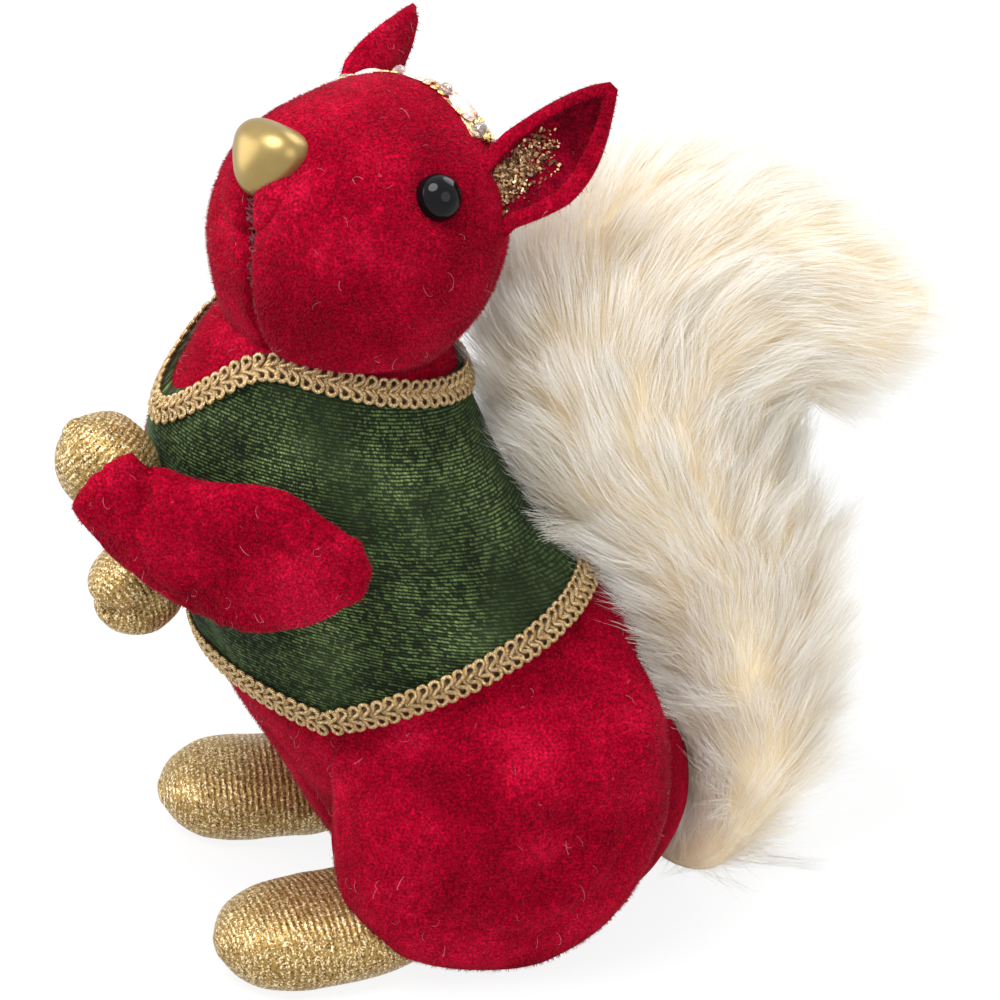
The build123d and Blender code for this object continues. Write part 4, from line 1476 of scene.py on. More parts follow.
    def build_braid(self, name: str, top: bool, width: float) -> bpy.types.Object:
        """Braid along one edge of the waistcoat.

        Args:
            name: name of the piece.
            top: whether it runs along the neckline.
            width: width of the braid.

        Returns:
            The braid as one mesh.
        """
        middle, _, normal = self.edge_line(top, width)
        ring = np.concatenate([middle, middle[:1]])
        travel = np.concatenate([[0], np.cumsum(np.linalg.norm(np.diff(ring, axis=0), axis=1))])
        count = int(travel[-1] / self.loop_pitch)
        places, turns = [], []
        normals = np.concatenate([normal, normal[:1]])
        for spot in np.arange(count) * travel[-1] / count:
            place = np.array([np.interp(spot, travel, ring[:, axis]) for axis in range(3)])
            further = np.array([np.interp((spot + 0.5) % travel[-1], travel, ring[:, axis]) for axis in range(3)])
            out = unit(np.array([np.interp(spot, travel, normals[:, axis]) for axis in range(3)]))
            x_axis = unit(further - place)
            y_axis = unit(np.cross(out, x_axis))
            places.append(place)
            turns.append(np.stack([x_axis, y_axis, np.cross(x_axis, y_axis)], axis=1))
        sizes = np.full((count, 3), 1.0)
        carrier = carrier_of(name + "_carrier", np.array(places), turns, sizes, np.linspace(0, 1, count))
        return self.shop.placed.run(carrier, name, Unit=self.loop_unit(width), Finish=self.shop.finishes.cord)

    def dress(self) -> None:
        """Build cloth and both braids with their backings."""
        cloth = self.build_cloth()
        put_on(cloth, self.shop.finishes.green)
        declare(cloth, ("vest",))
        trim = []
        for name, top, width in (
            ("vest_hem_braid", False, self.hem_width),
            ("vest_neck_braid", True, self.neck_width),
        ):
            braid = self.build_braid(name.replace("vest", "waistcoat"), top, width)
            declare(braid, (name,))
            backing = self.build_backing(name.replace("vest", "waistcoat") + "_backing", top, width)
            put_on(backing, self.shop.finishes.backing)
            declare(backing)
            trim += [braid, backing]


@dataclass
class Head:
    """Velvet head with muzzle seam and eye hollows, nose and eyes."""

    shop: Workshop
    rows: int = 190
    columns: int = 220
    seam_depth: float = 2.1
    seam_gap: float = 1.5
    seam_gap_height: float = -6.5
    seam_stitches: int = 64
    hollow_depth: float = 1.8
    hollow_radius: float = 7.5
    eye_diameter: float = 10.5
    eye_shares: tuple = (0.412, -0.170, 0.175)
    nose_size: tuple = (24.0, 12.0)
    nose_rise: float = 0.12

    def eye_place(self, side: Side) -> np.ndarray:
        """Centre of an eye in the head's own frame."""
        x, y, z = self.eye_shares
        seat = np.array([side.value * x * HEAD_SIZE[0], y * HEAD_SIZE[1], z * HEAD_SIZE[2]])
        return seat - unit(seat * np.array([1, 0, 1])) * 0.5

    def build_skin(self) -> bpy.types.Object:
        """Velvet skin of the head."""
        rings = head_form().rings(self.rows, self.columns, 0.0, (0.35, 0.5))
        piece = closed_rings("head_velvet", rings)
        places, normals = vertex_places(piece), vertex_normals(piece)
        x, y, z = places.T
        shape = swell(places, 22.0, 3) * 0.45
        under = np.clip((-z + 8) / 10, 0, 1) * np.clip((-y - 2) / 14, 0, 1)
        gap = np.exp(-(((z - self.seam_gap_height) / 5.0) ** 2))
        groove = np.exp(-((x - self.seam_x(z)) / (1.6 + 0.7 * gap)) ** 2)
        lobes = np.exp(-((np.abs(x) - 9.0) / 7.0) ** 2) * np.clip((-y - 14) / 12, 0, 1) * np.clip((7 - z) / 10, 0, 1)
        shape += lobes * 1.2 - groove * under * (self.seam_depth + self.seam_gap * gap)
        side_seam = np.exp(-((y - 11 + 0.12 * z) / 0.8) ** 2) * np.clip(np.abs(x) / 12 - 0.8, 0, 1)
        shape -= side_seam * 0.45
        for side in Side:
            centre = self.eye_place(side)
            distance = np.linalg.norm(places - centre, axis=1)
            shape -= self.hollow_depth * np.exp(-((distance / self.hollow_radius) ** 4))
        move_vertices(piece, on_head(places + normals * shape[:, None]))
        return piece

    def seam_x(self, height: np.ndarray) -> np.ndarray:
        """Place of the chin seam across the head; it wanders to the left further down."""
        return 0.6 + 3.2 * np.clip(-height / 25, 0, 1)

    def build_seam(self, skin: bpy.types.Object) -> bpy.types.Object:
        """Thread that closes the chin seam, longer and looser in the gap under the nose; its dark colour is also
        painted shade in the seam's groove.

        Args:
            skin: the finished velvet of the head.

        Returns:
            All stitches as one piece.
        """
        places, normals = vertex_places(skin), vertex_normals(skin)
        local = (places - np.array(HEAD_CENTRE)) @ head_turn()
        x, y, z = local.T
        on_seam = np.nonzero((np.abs(x - self.seam_x(z)) < 0.5) & (y < -4) & (z < 1) & (z > -31))[0]
        random = np.random.default_rng(23)
        chosen = random.choice(on_seam, self.seam_stitches)
        down = head_turn() @ np.array([0.0, 0.0, -1.0])
        turns = []
        for index in chosen:
            out = normals[index]
            along = unit(down - out * np.dot(down, out))
            heading = np.cross(along, out) + along * random.normal(0, 0.6)
            x_axis = unit(heading)
            turns.append(np.stack([x_axis, np.cross(out, x_axis), out], axis=1))
        gap = np.exp(-(((z[chosen] - self.seam_gap_height) / 6.0) ** 2))
        sizes = (1.5 + 2.3 * gap)[:, None] * random.uniform(0.8, 1.2, (self.seam_stitches, 3))
        sizes *= np.array([1.0, 0.55, 1.0])
        carrier = carrier_of("seam_marks", places[chosen] + normals[chosen] * 0.3, turns, sizes, np.ones(len(chosen)))
        unit_shape = stitch_unit("seam_stitch")
        return self.shop.placed.run(carrier, "head_seam_thread", Unit=unit_shape, Finish=self.shop.finishes.fray)

    def build_nose(self) -> bpy.types.Object:
        """Cushion-shaped nose, a soft triangle with its point down."""
        width, depth = self.nose_size
        rows, columns = 40, 96
        angle = np.linspace(0, 2 * math.pi, columns, endpoint=False)
        radius = width * 0.378 * (1 + 0.04 * np.cos(2 * angle) + 0.08 * np.cos(3 * (angle + math.pi / 2)))
        part = np.linspace(0, 1, rows)
        height = np.where(part < 0.25, part / 0.25 * depth * 0.42, depth * 0.42 + depth * 0.54 * np.sin((part - 0.25) / 0.75 * math.pi / 2))
        scale = np.where(part < 0.25, 0.93 + 0.07 * np.sin(part * 2 * math.pi), np.cos((part - 0.25) / 0.75 * math.pi / 2) ** 0.92)
        ring_x = radius * np.cos(angle)
        ring_z = radius * np.sin(angle) * np.where(np.sin(angle) > 0, 0.84, 1.06)
        x = ring_x[None, :] * scale[:, None]
        z = ring_z[None, :] * scale[:, None] + self.nose_rise * HEAD_SIZE[2]
        front = HEAD_SHARES[0][0] * HEAD_SIZE[1]
        y = front + 4.5 - np.broadcast_to(height[:, None], x.shape)
        piece = closed_rings("nose_button", np.stack([x, y, z], axis=-1)[:-1])
        move_vertices(piece, on_head(vertex_places(piece)))
        return piece

    def build_eye(self, side: Side) -> bpy.types.Object:
        """Polished ball eye."""
        rows, columns = 36, 48
        turn = np.linspace(0.02, math.pi - 0.02, rows)[:, None]
        angle = np.linspace(0, 2 * math.pi, columns, endpoint=False)[None, :]
        ball = np.stack(np.broadcast_arrays(np.sin(turn) * np.cos(angle), np.sin(turn) * np.sin(angle), np.cos(turn)), axis=-1)
        piece = closed_rings(f"eye_ball_{side.word}", ball * self.eye_diameter / 2 + self.eye_place(side))
        move_vertices(piece, on_head(vertex_places(piece)))
        return piece

    def dress(self) -> None:
        """Build skin, nap, nose and eyes."""
        skin = self.build_skin()
        put_on(skin, self.shop.finishes.red)
        declare(skin, ("head_cover_left", "head_cover_right", "head_core"))
        self.shop.grow_nap(skin, self.shop.finishes.pile, "red_velvet", 2.4, NAP_LENGTH, 21)
        declare(self.build_seam(skin))
        nose = self.build_nose()
        put_on(nose, self.shop.finishes.nose)
        declare(nose, ("nose",))
        for side in Side:
            eye = self.build_eye(side)
            put_on(eye, self.shop.finishes.eye)
            declare(eye, (f"eye_{side.word}",))


@dataclass
class Ears:
    """Two cupped leaf ears with a folded edge, stitches and glitter flakes."""

    shop: Workshop
    length: float = 35.5
    width: float = 23.0
    cup: float = 15.0
    root_cup: float = 6.5
    tip: float = 1.3
    drawn: float = 0.34
    rear_swell: float = 0.20
    thickness: float = 2.6
    rim: float = 2.4
    splay: float = 22.0
    sweeps: tuple = (16.0, 23.0)
    turns: tuple = (52.0, 80.0)
    root_share: float = 0.36
    belly_shares: tuple = (0.46, 0.40)
    root_shares: tuple = ((0.356, 0.108, 0.205), (0.350, 0.105, 0.238))
    stretches: tuple = ((1.16, 1.0, 1.03), (0.93, 1.0, 0.94))
    flake_count: int = 1100

    def place(self, points: np.ndarray, side: Side) -> np.ndarray:
        """Ear points, root at the origin and tip up, in the object's frame."""
        ear = 0 if side is Side.LEFT else 1
        root = np.array(self.root_shares[ear]) * np.array(HEAD_SIZE) * np.array([side.value, 1, 1])
        turned = turn_about("X", -self.sweeps[ear]) @ turn_about("Y", side.value * self.splay)
        turned = turned @ turn_about("Z", 180 + side.value * self.turns[ear])
        return on_head((points + np.array([0, self.cup, 0])) * np.array(self.stretches[ear]) @ turned.T + root)

    def half_width(self, height: np.ndarray) -> np.ndarray:
        """Half width of the leaf at a height."""
        root = (0.0, self.root_share * self.width)
        belly = (self.belly_shares[1] * self.length, self.belly_shares[0] * self.width)
        blunt = np.clip((self.length - height) / 1.2, 0.05, 1) * self.tip
        drawn = 1 - self.drawn * np.clip((height / self.length - 0.35) / 0.65, 0, 1) ** 0.8
        return np.maximum(arc_height(root, belly, (self.length + 1.5, 0.0), height) * drawn, blunt)

    def wall(self, height: np.ndarray, across: np.ndarray, depth: np.ndarray) -> np.ndarray:
        """Points of the cup wall.

        Args:
            height: place from root to tip.
            across: place from edge to edge, from -1 to 1.
            depth: distance outwards from the middle of the wall.

        Returns:
            Points in the ear's own frame.
        """
        rise = np.clip(height / self.length / 0.8, 0, 1)
        cup = self.root_cup + (self.cup - self.root_cup) * rise
        swell_rear = 1 + self.rear_swell * np.clip(-across, -1, 1) * np.sin(np.clip(height / self.length, 0, 1) * math.pi)
        angle = across * swell_rear * self.half_width(np.maximum(height, 0.0)) / (cup + 1) * 1.05
        radius = cup + depth
        return np.stack([radius * np.sin(angle), cup - self.cup - radius * np.cos(angle), height], axis=-1)

    def build_leaf(self, side: Side) -> bpy.types.Object:
        """Ear of two cloths with a rounded, folded edge."""
        rows, columns = 70, 96
        height = np.linspace(-3.0, self.length - 0.15, rows)[:, None]
        around = np.linspace(0, 2 * math.pi, columns, endpoint=False)[None, :]
        across = np.sign(np.cos(around)) * np.abs(np.cos(around)) ** 0.8
        half = self.half_width(np.maximum(height, 0.0))
        edge = (1 - np.abs(across)) * half
        plump = np.sign(np.sin(around)) * np.minimum(np.abs(np.sin(around)) ** 0.5, 1) * self.thickness / 2
        inside = np.sin(around) < 0
        roll = np.exp(-((edge - 1.5) / 1.3) ** 2) * 0.85
        groove = np.exp(-((edge - self.rim - 0.6) / 0.35) ** 2) * 0.5
        depth = plump + np.where(inside, -roll + groove, roll * 0.3)
        taper = np.clip((self.length - height) / 3.0, 0.25, 1)
        grid = self.wall(*np.broadcast_arrays(height, across, depth * taper))
        grid = grid + (swell(grid, 7.0, 41 + side.value) * 0.18)[..., None] * np.array([0, 1.0, 0])
        piece = closed_rings(f"ear_leaf_{side.word}", grid)
        move_vertices(piece, self.place(vertex_places(piece), side))
        face_out(piece)
        return piece

    def build_lining(self, side: Side) -> bpy.types.Object:
        """Lining in the hollow, inside the folded edge."""
        rows, columns = 50, 64
        height = np.linspace(0.0, self.length - self.rim - 1.0, rows)[:, None]
        around = np.linspace(0, 2 * math.pi, columns, endpoint=False)[None, :]
        share = np.clip(1 - self.rim / self.half_width(height), 0.05, 1)
        across = np.cos(around) * share
        front = np.sin(around) < 0
        depth = -self.thickness / 2 + np.where(front, -0.22, 0.2) * np.abs(np.sin(around)) ** 0.4
        grid = self.wall(*np.broadcast_arrays(height, across, depth))
        piece = closed_rings(f"ear_lining_{side.word}", grid)
        move_vertices(piece, self.place(vertex_places(piece), side))
        face_out(piece)
        return piece

    def build_stitches(self, side: Side) -> bpy.types.Object:
        """Running stitches along the folded edge."""
        unit_shape = stitch_unit(f"stitch_{side.word}")
        places, turns = [], []
        for edge_side in (-1, 1):
            for height in np.arange(2.0, self.length - 3.0, 1.7):
                half = float(self.half_width(np.array(height)))
                share = edge_side * (1 - (self.rim + 0.6) / half)
                spots = self.wall(np.array([height, height + 0.3]), np.array([share, share]), np.array([-1.1, -1.1]))
                first, second = self.place(spots, side)
                out = unit(self.place(np.array([[0.0, 0.0, height]]), side)[0] - first)
                x_axis = unit(second - first)
                y_axis = unit(np.cross(out, x_axis))
                places.append(first)
                turns.append(np.stack([x_axis, y_axis, np.cross(x_axis, y_axis)], axis=1))
        carrier = carrier_of(
            f"stitch_marks_{side.word}", np.array(places), turns, np.ones((len(places), 3)), np.ones(len(places))
        )
        name = f"ear_stitches_{side.word}"
        return self.shop.placed.run(carrier, name, Unit=unit_shape, Finish=self.shop.finishes.stitch)

    def build_flakes(self, side: Side) -> bpy.types.Object:
        """Glitter flakes glued in the lower cup."""
        random = np.random.default_rng(70 + side.value)
        plate = np.array([[-0.5, -0.35, 0], [0.5, -0.3, 0], [0.45, 0.35, 0], [-0.4, 0.4, 0]])
        points = np.concatenate([plate, plate * 0.9 + [0, 0, 0.16]])
        faces = [[3, 2, 1, 0], [4, 5, 6, 7], [0, 1, 5, 4], [1, 2, 6, 5], [2, 3, 7, 6], [3, 0, 4, 7]]
        unit_shape = unit_object(f"flake_{side.word}", points, faces)
        unit_shape.data.polygons.foreach_set("use_smooth", [False] * len(faces))
        height = random.beta(1.1, 2.2, self.flake_count) * self.length * 0.60
        across = np.clip(random.normal(0.16 * side.value, 0.27, self.flake_count), -0.6, 0.6)
        depth = -self.thickness / 2 - random.uniform(0.0, 0.7, self.flake_count)
        places = self.place(self.wall(height, across, depth), side)
        axis = self.place(np.stack([np.zeros_like(height), np.zeros_like(height), height], axis=-1), side)
        turns = []
        for foot, middle in zip(places, axis):
            out = unit(unit(middle - foot) + random.normal(0, 0.45, 3))
            x_axis = unit(np.cross(out, random.normal(0, 1, 3)))
            turns.append(np.stack([x_axis, np.cross(out, x_axis), out], axis=1))
        sizes = random.uniform(0.40, 1.0, (self.flake_count, 1)) * random.uniform(0.7, 1.3, (self.flake_count, 3))
        tones = 0.2 + 0.65 * random.beta(0.9, 1.3, self.flake_count)
        carrier = carrier_of(f"flake_marks_{side.word}", places, turns, sizes, tones)
        name = f"ear_flakes_{side.word}"
        return self.shop.placed.run(carrier, name, Unit=unit_shape, Finish=self.shop.finishes.flakes)

    def dress(self) -> None:
        """Build both ears with nap, stitches and flakes."""
        for side in Side:
            leaf = self.build_leaf(side)
            put_on(leaf, self.shop.finishes.red)
            declare(leaf, (f"ear_{side.word}_back",))
            self.shop.grow_nap(leaf, self.shop.finishes.pile, "red_velvet", 2.4, NAP_LENGTH, 51 + side.value)
            lining = self.build_lining(side)
            put_on(lining, self.shop.finishes.lining)
            declare(lining, (f"ear_{side.word}_lining",))
            declare(self.build_stitches(side))
            declare(self.build_flakes(side), (f"ear_{side.word}_glitter",))


@dataclass
class Headband:
    """Beaded band over the crown between the ears."""

    shop: Workshop
    spread: tuple = (-46.0, 37.0)
    width: float = 6.6
    stone_size: tuple = (9.2, 5.2, 1.7)
    stone_angles: tuple = (-25.0, -3.0, 22.0)
    crystal_angles: tuple = (-36.0, -11.5, 11.5, 34.0)

    def dome(self, name: str, sides: int, rings: int, flat: bool) -> bpy.types.Object:
        """Faceted dome one unit wide and half a unit high."""
        points, faces = [], []
        for ring in range(rings):
            turn = ring / rings * math.pi / 2
            for side in range(sides):
                angle = (side + 0.5 * (ring % 2)) * 2 * math.pi / sides
                points.append([0.5 * math.cos(turn) * math.cos(angle), 0.5 * math.cos(turn) * math.sin(angle), 0.5 * math.sin(turn)])
        faces = rings_to_faces(rings, sides).tolist()
        points.append([0, 0, 0.5])
        top = (rings - 1) * sides
        for side in range(sides):
            faces.append([top + side, top + (side + 1) % sides, len(points) - 1])
        faces.append(list(range(sides))[::-1])
        piece = unit_object(name, np.array(points), faces)
        if flat:
            piece.data.polygons.foreach_set("use_smooth", [False] * len(faces))
        return piece

    def ring_bead(self, name: str) -> bpy.types.Object:
        """Seed bead with its hole, one unit wide."""
        angle = np.linspace(0, 2 * math.pi, 10, endpoint=False)
        path = np.stack([0.33 * np.cos(angle), 0.33 * np.sin(angle), np.full(10, 0.2)], axis=1)
        points, faces, uv = tube_along(path, 0.19, 6, True)
        piece = unit_object(name, points, faces, uv)
        face_out(piece)
        return piece

    def scatter(self, name: str, unit_shape: bpy.types.Object, finish: bpy.types.Material, marks: list) -> bpy.types.Object:
        """Put units on the crown.

        Args:
            name: name of the piece.
            unit_shape: shape to repeat.
            finish: its finish.
            marks: rows of angle, place across the band, lift, spin in degrees and three sizes.

        Returns:
            All units as one piece.
        """
        places, turns, sizes = [], [], []
        for angle, shift, lift, spin, size in marks:
            foot, axes = crown_place(angle, lift)
            turned = axes @ turn_about("Z", spin)
            places.append(foot + axes[:, 1] * shift)
            turns.append(turned)
            sizes.append(size)
        carrier = carrier_of(name + "_marks", np.array(places), turns, np.array(sizes), np.linspace(0, 1, len(places)))
        return self.shop.placed.run(carrier, name, Unit=unit_shape, Finish=finish)

    def build_ribbon(self) -> bpy.types.Object:
        """Thin woven ribbon under the beads."""
        angles = np.linspace(*self.spread, 60)
        grid = []
        for angle in angles:
            base, axes = crown_place(angle, 0.0)
            ring = []
            for shift, rise in ((-0.5, -0.4), (-0.5, 0.3), (-0.25, 0.5), (0.25, 0.5), (0.5, 0.3), (0.5, -0.4)):
                ring.append(base + axes[:, 1] * shift * self.width + axes[:, 2] * rise)
            grid.append(ring)
        return closed_rings("headband_band", np.array(grid))

    def dress(self) -> None:
        """Build ribbon, stones, crystals, beads and sequins."""
        finishes = self.shop.finishes
        ribbon = self.build_ribbon()
        put_on(ribbon, finishes.ribbon)
        declare(ribbon, ("headband_ribbon",))
        random = np.random.default_rng(9)
        length, width, height = self.stone_size
        front = (self.width - width) / 2
        stones = [(angle, -front, 0.5, random.uniform(-12, 12), (length, width, height * 2)) for angle in self.stone_angles]
        crystals = [(angle, -front, 0.4, random.uniform(0, 60), (3.8, 3.8, 5.0)) for angle in self.crystal_angles]
        beads, sequins = [], []
        for angle in np.arange(-44, 37, 4.0):
            beads.append((angle, 1.9 + random.uniform(-0.4, 0.4), 0.5, random.uniform(0, 90), (2.0, 2.0, 2.0)))
            if random.random() < 0.45:
                beads.append((angle + 2, -3.1, 0.3, random.uniform(0, 90), (1.9, 1.9, 1.9)))
        for angle in (-30, -18, -6, 6, 18, 30, 36):
            sequins.append((angle, 0.6 + random.uniform(-0.3, 0.3), 0.7, random.uniform(0, 90), (3.0, 3.0, 0.8)))
        for name, unit_shape, finish, marks, slot in (
            ("headband_stones", self.dome("stone_unit", 12, 3, True), finishes.stone, stones, "pink_stone"),
            ("headband_crystals", self.dome("crystal_unit", 8, 3, True), finishes.crystal, crystals, "clear_crystal"),
            ("headband_gold_beads", self.ring_bead("bead_unit"), finishes.bead, beads, "gold_bead"),
            ("headband_sequins", self.dome("sequin_unit", 12, 2, False), finishes.bead, sequins, "gold_bead"),
        ):
            piece = self.scatter(name.replace("headband", "crown"), unit_shape, finish, marks)
            declare(piece, (name,))


@dataclass
class Limbs:
    """Haunches, hind feet, arms and front paws."""

    shop: Workshop
    thigh_size: tuple = (75.0, 89.0, 36.0)
    thigh_inner: float = 24.0
    thigh_centre: tuple = (-5.445, 43.89)
    tuck: float = 26.0
    ankle: float = 6.5
    thigh_shares: tuple = (
        (0.0, 0.46, 0.47), (0.5, 0.5, 0.5), (0.78, 0.455, 0.475), (0.94, 0.32, 0.335), (1.0, 0.14, 0.145),
    )
    foot_size: tuple = (54.0, 36.0, 21.5)
    foot_toe: tuple = (36.52, -71.445, 8.17)
    foot_turn: float = 6.0
    foot_shares: tuple = (
        (0.0, 0.11, 0.12), (0.06, 0.29, 0.31), (0.24, 0.46, 0.475), (0.5, 0.5, 0.5), (0.8, 0.42, 0.43), (1.0, 0.2, 0.2),
    )
    arm_size: tuple = (62.0, 35.0, 13.0)
    arm_shares: tuple = (
        (-0.39, 0.0, 0.2, 0.32), (-0.19, 0.0, 0.445, 0.47), (0.12, 0.005, 0.485, 0.5),
        (0.375, 0.120, 0.385, 0.45), (0.505, 0.250, 0.29, 0.36),
    )
    wrist_bends: tuple = (1.0, 0.45)
    wrist_turns: tuple = (0.0, 0.0, 4.0, 24.0, 46.0)
    shoulders: tuple = ((0.385, -0.625, 0.676), (0.47, -0.590, 0.630))
    raises: tuple = (0.0, -62.0)
    toe_ins: tuple = (26.0, 33.0)
    paw_size: tuple = (24.0, 22.0)
    paw_inward: float = 9.0
    paw_tilt: float = 46.0
    paw_cleft: float = 2.6
    paw_root: tuple = (0.41, 0.10)
    paw_shares: tuple = ((0.0, 0.24), (0.3, 0.47), (0.58, 0.50), (0.82, 0.41), (0.95, 0.25), (1.0, 0.11))

    def thigh_form(self, side: Side) -> StuffedForm:
        """Rounded haunch."""
        shares = np.array(self.thigh_shares)
        count = len(shares)
        length, height, reach = self.thigh_size
        x = side.value * (self.thigh_inner + shares[:, 0] * reach)
        centres = np.stack([x, np.full(count, self.thigh_centre[0]), np.full(count, self.thigh_centre[1])], axis=1)
        halves = np.stack([shares[:, 1] * length, shares[:, 2] * height], axis=1)
        return StuffedForm(centres, np.tile([0, 1.0, 0], (count, 1)), np.tile([0, 0, 1.0], (count, 1)), halves)

    def foot_form(self, side: Side) -> StuffedForm:
        """Egg-shaped hind foot."""
        shares = np.array(self.foot_shares)
        count = len(shares)
        length, width, height = self.foot_size
        turn = turn_about("Z", side.value * self.foot_turn)
        toe = np.array(self.foot_toe) * np.array([side.value, 1, 1])
        centres = toe + np.outer(shares[:, 0] * length, turn @ np.array([0, 1.0, 0]))
        halves = np.stack([shares[:, 1] * width, shares[:, 2] * height], axis=1)
        across = np.tile(turn @ np.array([1.0, 0, 0]), (count, 1))
        return StuffedForm(centres, across, np.tile([0, 0, 1.0], (count, 1)), halves)

    def shoulder(self, side: Side) -> tuple[np.ndarray, np.ndarray]:
        """Shoulder point and the turn whose X runs along the arm, Y up and Z across it."""
        which = 0 if side is Side.LEFT else 1
        x, y, z = self.shoulders[which]
        point = np.array([side.value * x * BODY_SIZE[0], y * BODY_SIZE[1], z * BODY_SIZE[2]])
        turn = math.radians(self.toe_ins[which])
        forward = np.array([-side.value * math.sin(turn), -math.cos(turn), 0])
        across = np.array([-math.cos(turn), side.value * math.sin(turn), 0])
        axes = np.stack([forward, np.array([0, 0, 1.0]), across], axis=1)
        return point, axes @ turn_about("Z", self.raises[which])

    def arm_form(self, side: Side) -> StuffedForm:
        """Flat stuffed arm."""
        point, axes = self.shoulder(side)
        shares = np.array(self.arm_shares)
        count = len(shares)
        length, height, thickness = self.arm_size
        bend = self.wrist_bends[0 if side is Side.LEFT else 1]
        local = np.stack([shares[:, 0] * length, bend * shares[:, 1] * length, np.zeros(count)], axis=1)
        halves = np.stack([shares[:, 2] * height, shares[:, 3] * thickness], axis=1)
        turn = np.radians(np.array(self.wrist_turns) * bend)[:, None]
        upright = np.cos(turn) * axes[:, 1] - np.sin(turn) * axes[:, 0]
        return StuffedForm(local @ axes.T + point, upright, np.tile(axes[:, 2], (count, 1)), halves)

    def paw_form(self, side: Side) -> StuffedForm:
        """Round front paw."""
        point, axes = self.shoulder(side)
        length, diameter = self.paw_size
        root = np.array([self.paw_root[0], self.paw_root[1], 0]) * self.arm_size[0]
        root[2] = side.value * self.paw_inward
        tilted = axes @ turn_about("Z", self.paw_tilt)
        shares = np.array(self.paw_shares)
        count = len(shares)
        centres = point + axes @ root + np.outer(shares[:, 0] * length, tilted[:, 0])
        halves = np.stack([shares[:, 1], shares[:, 1]], axis=1) * diameter
        return StuffedForm(centres, np.tile(tilted[:, 1], (count, 1)), np.tile(tilted[:, 2], (count, 1)), halves)

    def build_thigh(self, side: Side) -> bpy.types.Object:
        """Velvet haunch, flat where it rests."""
        piece = closed_rings(f"thigh_velvet_{side.word}", self.thigh_form(side).rings(90, 160, 0.0, (0.0, 0.12)))
        places, normals = vertex_places(piece), vertex_normals(piece)
        inner = np.abs(places[:, 0]) < self.thigh_inner + 6
        puff(piece, np.where(inner, 1.0, 0.0), 2.0, 1.2)
        places = vertex_places(piece)
        lumps = swell(places, 24.0, 61 + side.value) * 0.5
        places += normals * lumps[:, None]
        low = np.clip((44 - places[:, 2]) / 30, 0, 1)
        ahead = np.clip((self.thigh_centre[0] - places[:, 1]) / 20, 0, 1)
        places[:, 1] -= self.ankle * low * low * (3 - 2 * low) * ahead
        places[:, 2] = np.maximum(places[:, 2], 0.0)
        move_vertices(piece, self.tuck_under_hem(places, side))
        return piece

    def tuck_under_hem(self, places: np.ndarray, side: Side) -> np.ndarray:
        """Draw the top of a haunch in to the body where the waistcoat's hem lies on it.

        Args:
            places: points of the haunch.
            side: side of the animal.

        Returns:
            The points, with those near and over the hem moved in.
        """
        coat = Waistcoat(self.shop)
        rings = body_form().rings(400, 8)
        level = np.clip(places[:, 2], 0, BODY_SIZE[2])
        middle = np.interp(level, rings[:, 0, 2], rings.mean(axis=1)[:, 1])
        half_x = np.interp(level, rings[:, 0, 2], rings[:, 0, 0])
        half_y = np.interp(level, rings[:, 0, 2], rings[:, 2, 1] - rings.mean(axis=1)[:, 1])
        body_x = half_x * np.sqrt(np.clip(1 - ((places[:, 1] - middle) / half_y) ** 2, 0, 1))
        below = coat.edge_height(coat.hem, places[:, 1]) - places[:, 2]
        share = np.clip((below - 1.0) / self.tuck, 0, 1)
        share = share * share * (3 - 2 * share)
        out = np.abs(places[:, 0]) - body_x
        kept = np.where(out > 0, body_x + 0.4 + out * share, np.abs(places[:, 0]))
        moved = places.copy()
        moved[:, 0] = side.value * np.where(below < 0, np.minimum(kept, body_x - 0.5), kept)
        return moved

    def build_foot(self, side: Side) -> bpy.types.Object:
        """Knit foot on its flat sole."""
        piece = closed_rings(f"foot_knit_{side.word}", self.foot_form(side).rings(80, 110, 0.0, (0.25, 0.0)))
        places, normals = vertex_places(piece), vertex_normals(piece)
        places += normals * (swell(places, 15.0, 81 + side.value) * 0.45)[:, None]
        places[:, 2] = np.maximum(places[:, 2], 0.0)
        move_vertices(piece, places)
        return piece

    def build_arm(self, side: Side) -> bpy.types.Object:
        """Velvet arm, pulled in along its edge seam."""
        piece = closed_rings(f"arm_velvet_{side.word}", self.arm_form(side).rings(90, 120, -0.5, (0.5, 0.5)))
        point, axes = self.shoulder(side)
        places = vertex_places(piece)
        puff(piece, np.zeros(len(places)), 1.5, 1.2)
        places, normals = vertex_places(piece), vertex_normals(piece)
        local = (places - point) @ axes
        crease = np.exp(-((local[:, 0] - 22) / 2.6) ** 2) * np.clip((local[:, 1] - 6) / 8, 0, 1)
        places += normals * (swell(places, 14.0, 91 + side.value) * 0.4 + 0.4 - crease * 1.8)[:, None]
        move_vertices(piece, places)
        return piece

    def build_paw(self, side: Side) -> bpy.types.Object:
        """Knit paw."""
        piece = closed_rings(f"paw_knit_{side.word}", self.paw_form(side).rings(60, 90, 0.0, (0.3, 0.3)))
        places, normals = vertex_places(piece), vertex_normals(piece)
        shape = swell(places, 12.0, 101 + side.value) * 0.5
        if side is Side.RIGHT:
            point, axes = self.shoulder(side)
            tilted = axes @ turn_about("Z", self.paw_tilt)
            local = (places - point) @ tilted
            middle = np.median(local, axis=0)
            part = np.exp(-(((local[:, 1] - middle[1]) / 2.2) ** 2)) * np.clip((local[:, 0] - middle[0]) / 6, 0, 1)
            shape -= part * self.paw_cleft
        places += normals * shape[:, None]
        move_vertices(piece, places)
        return piece

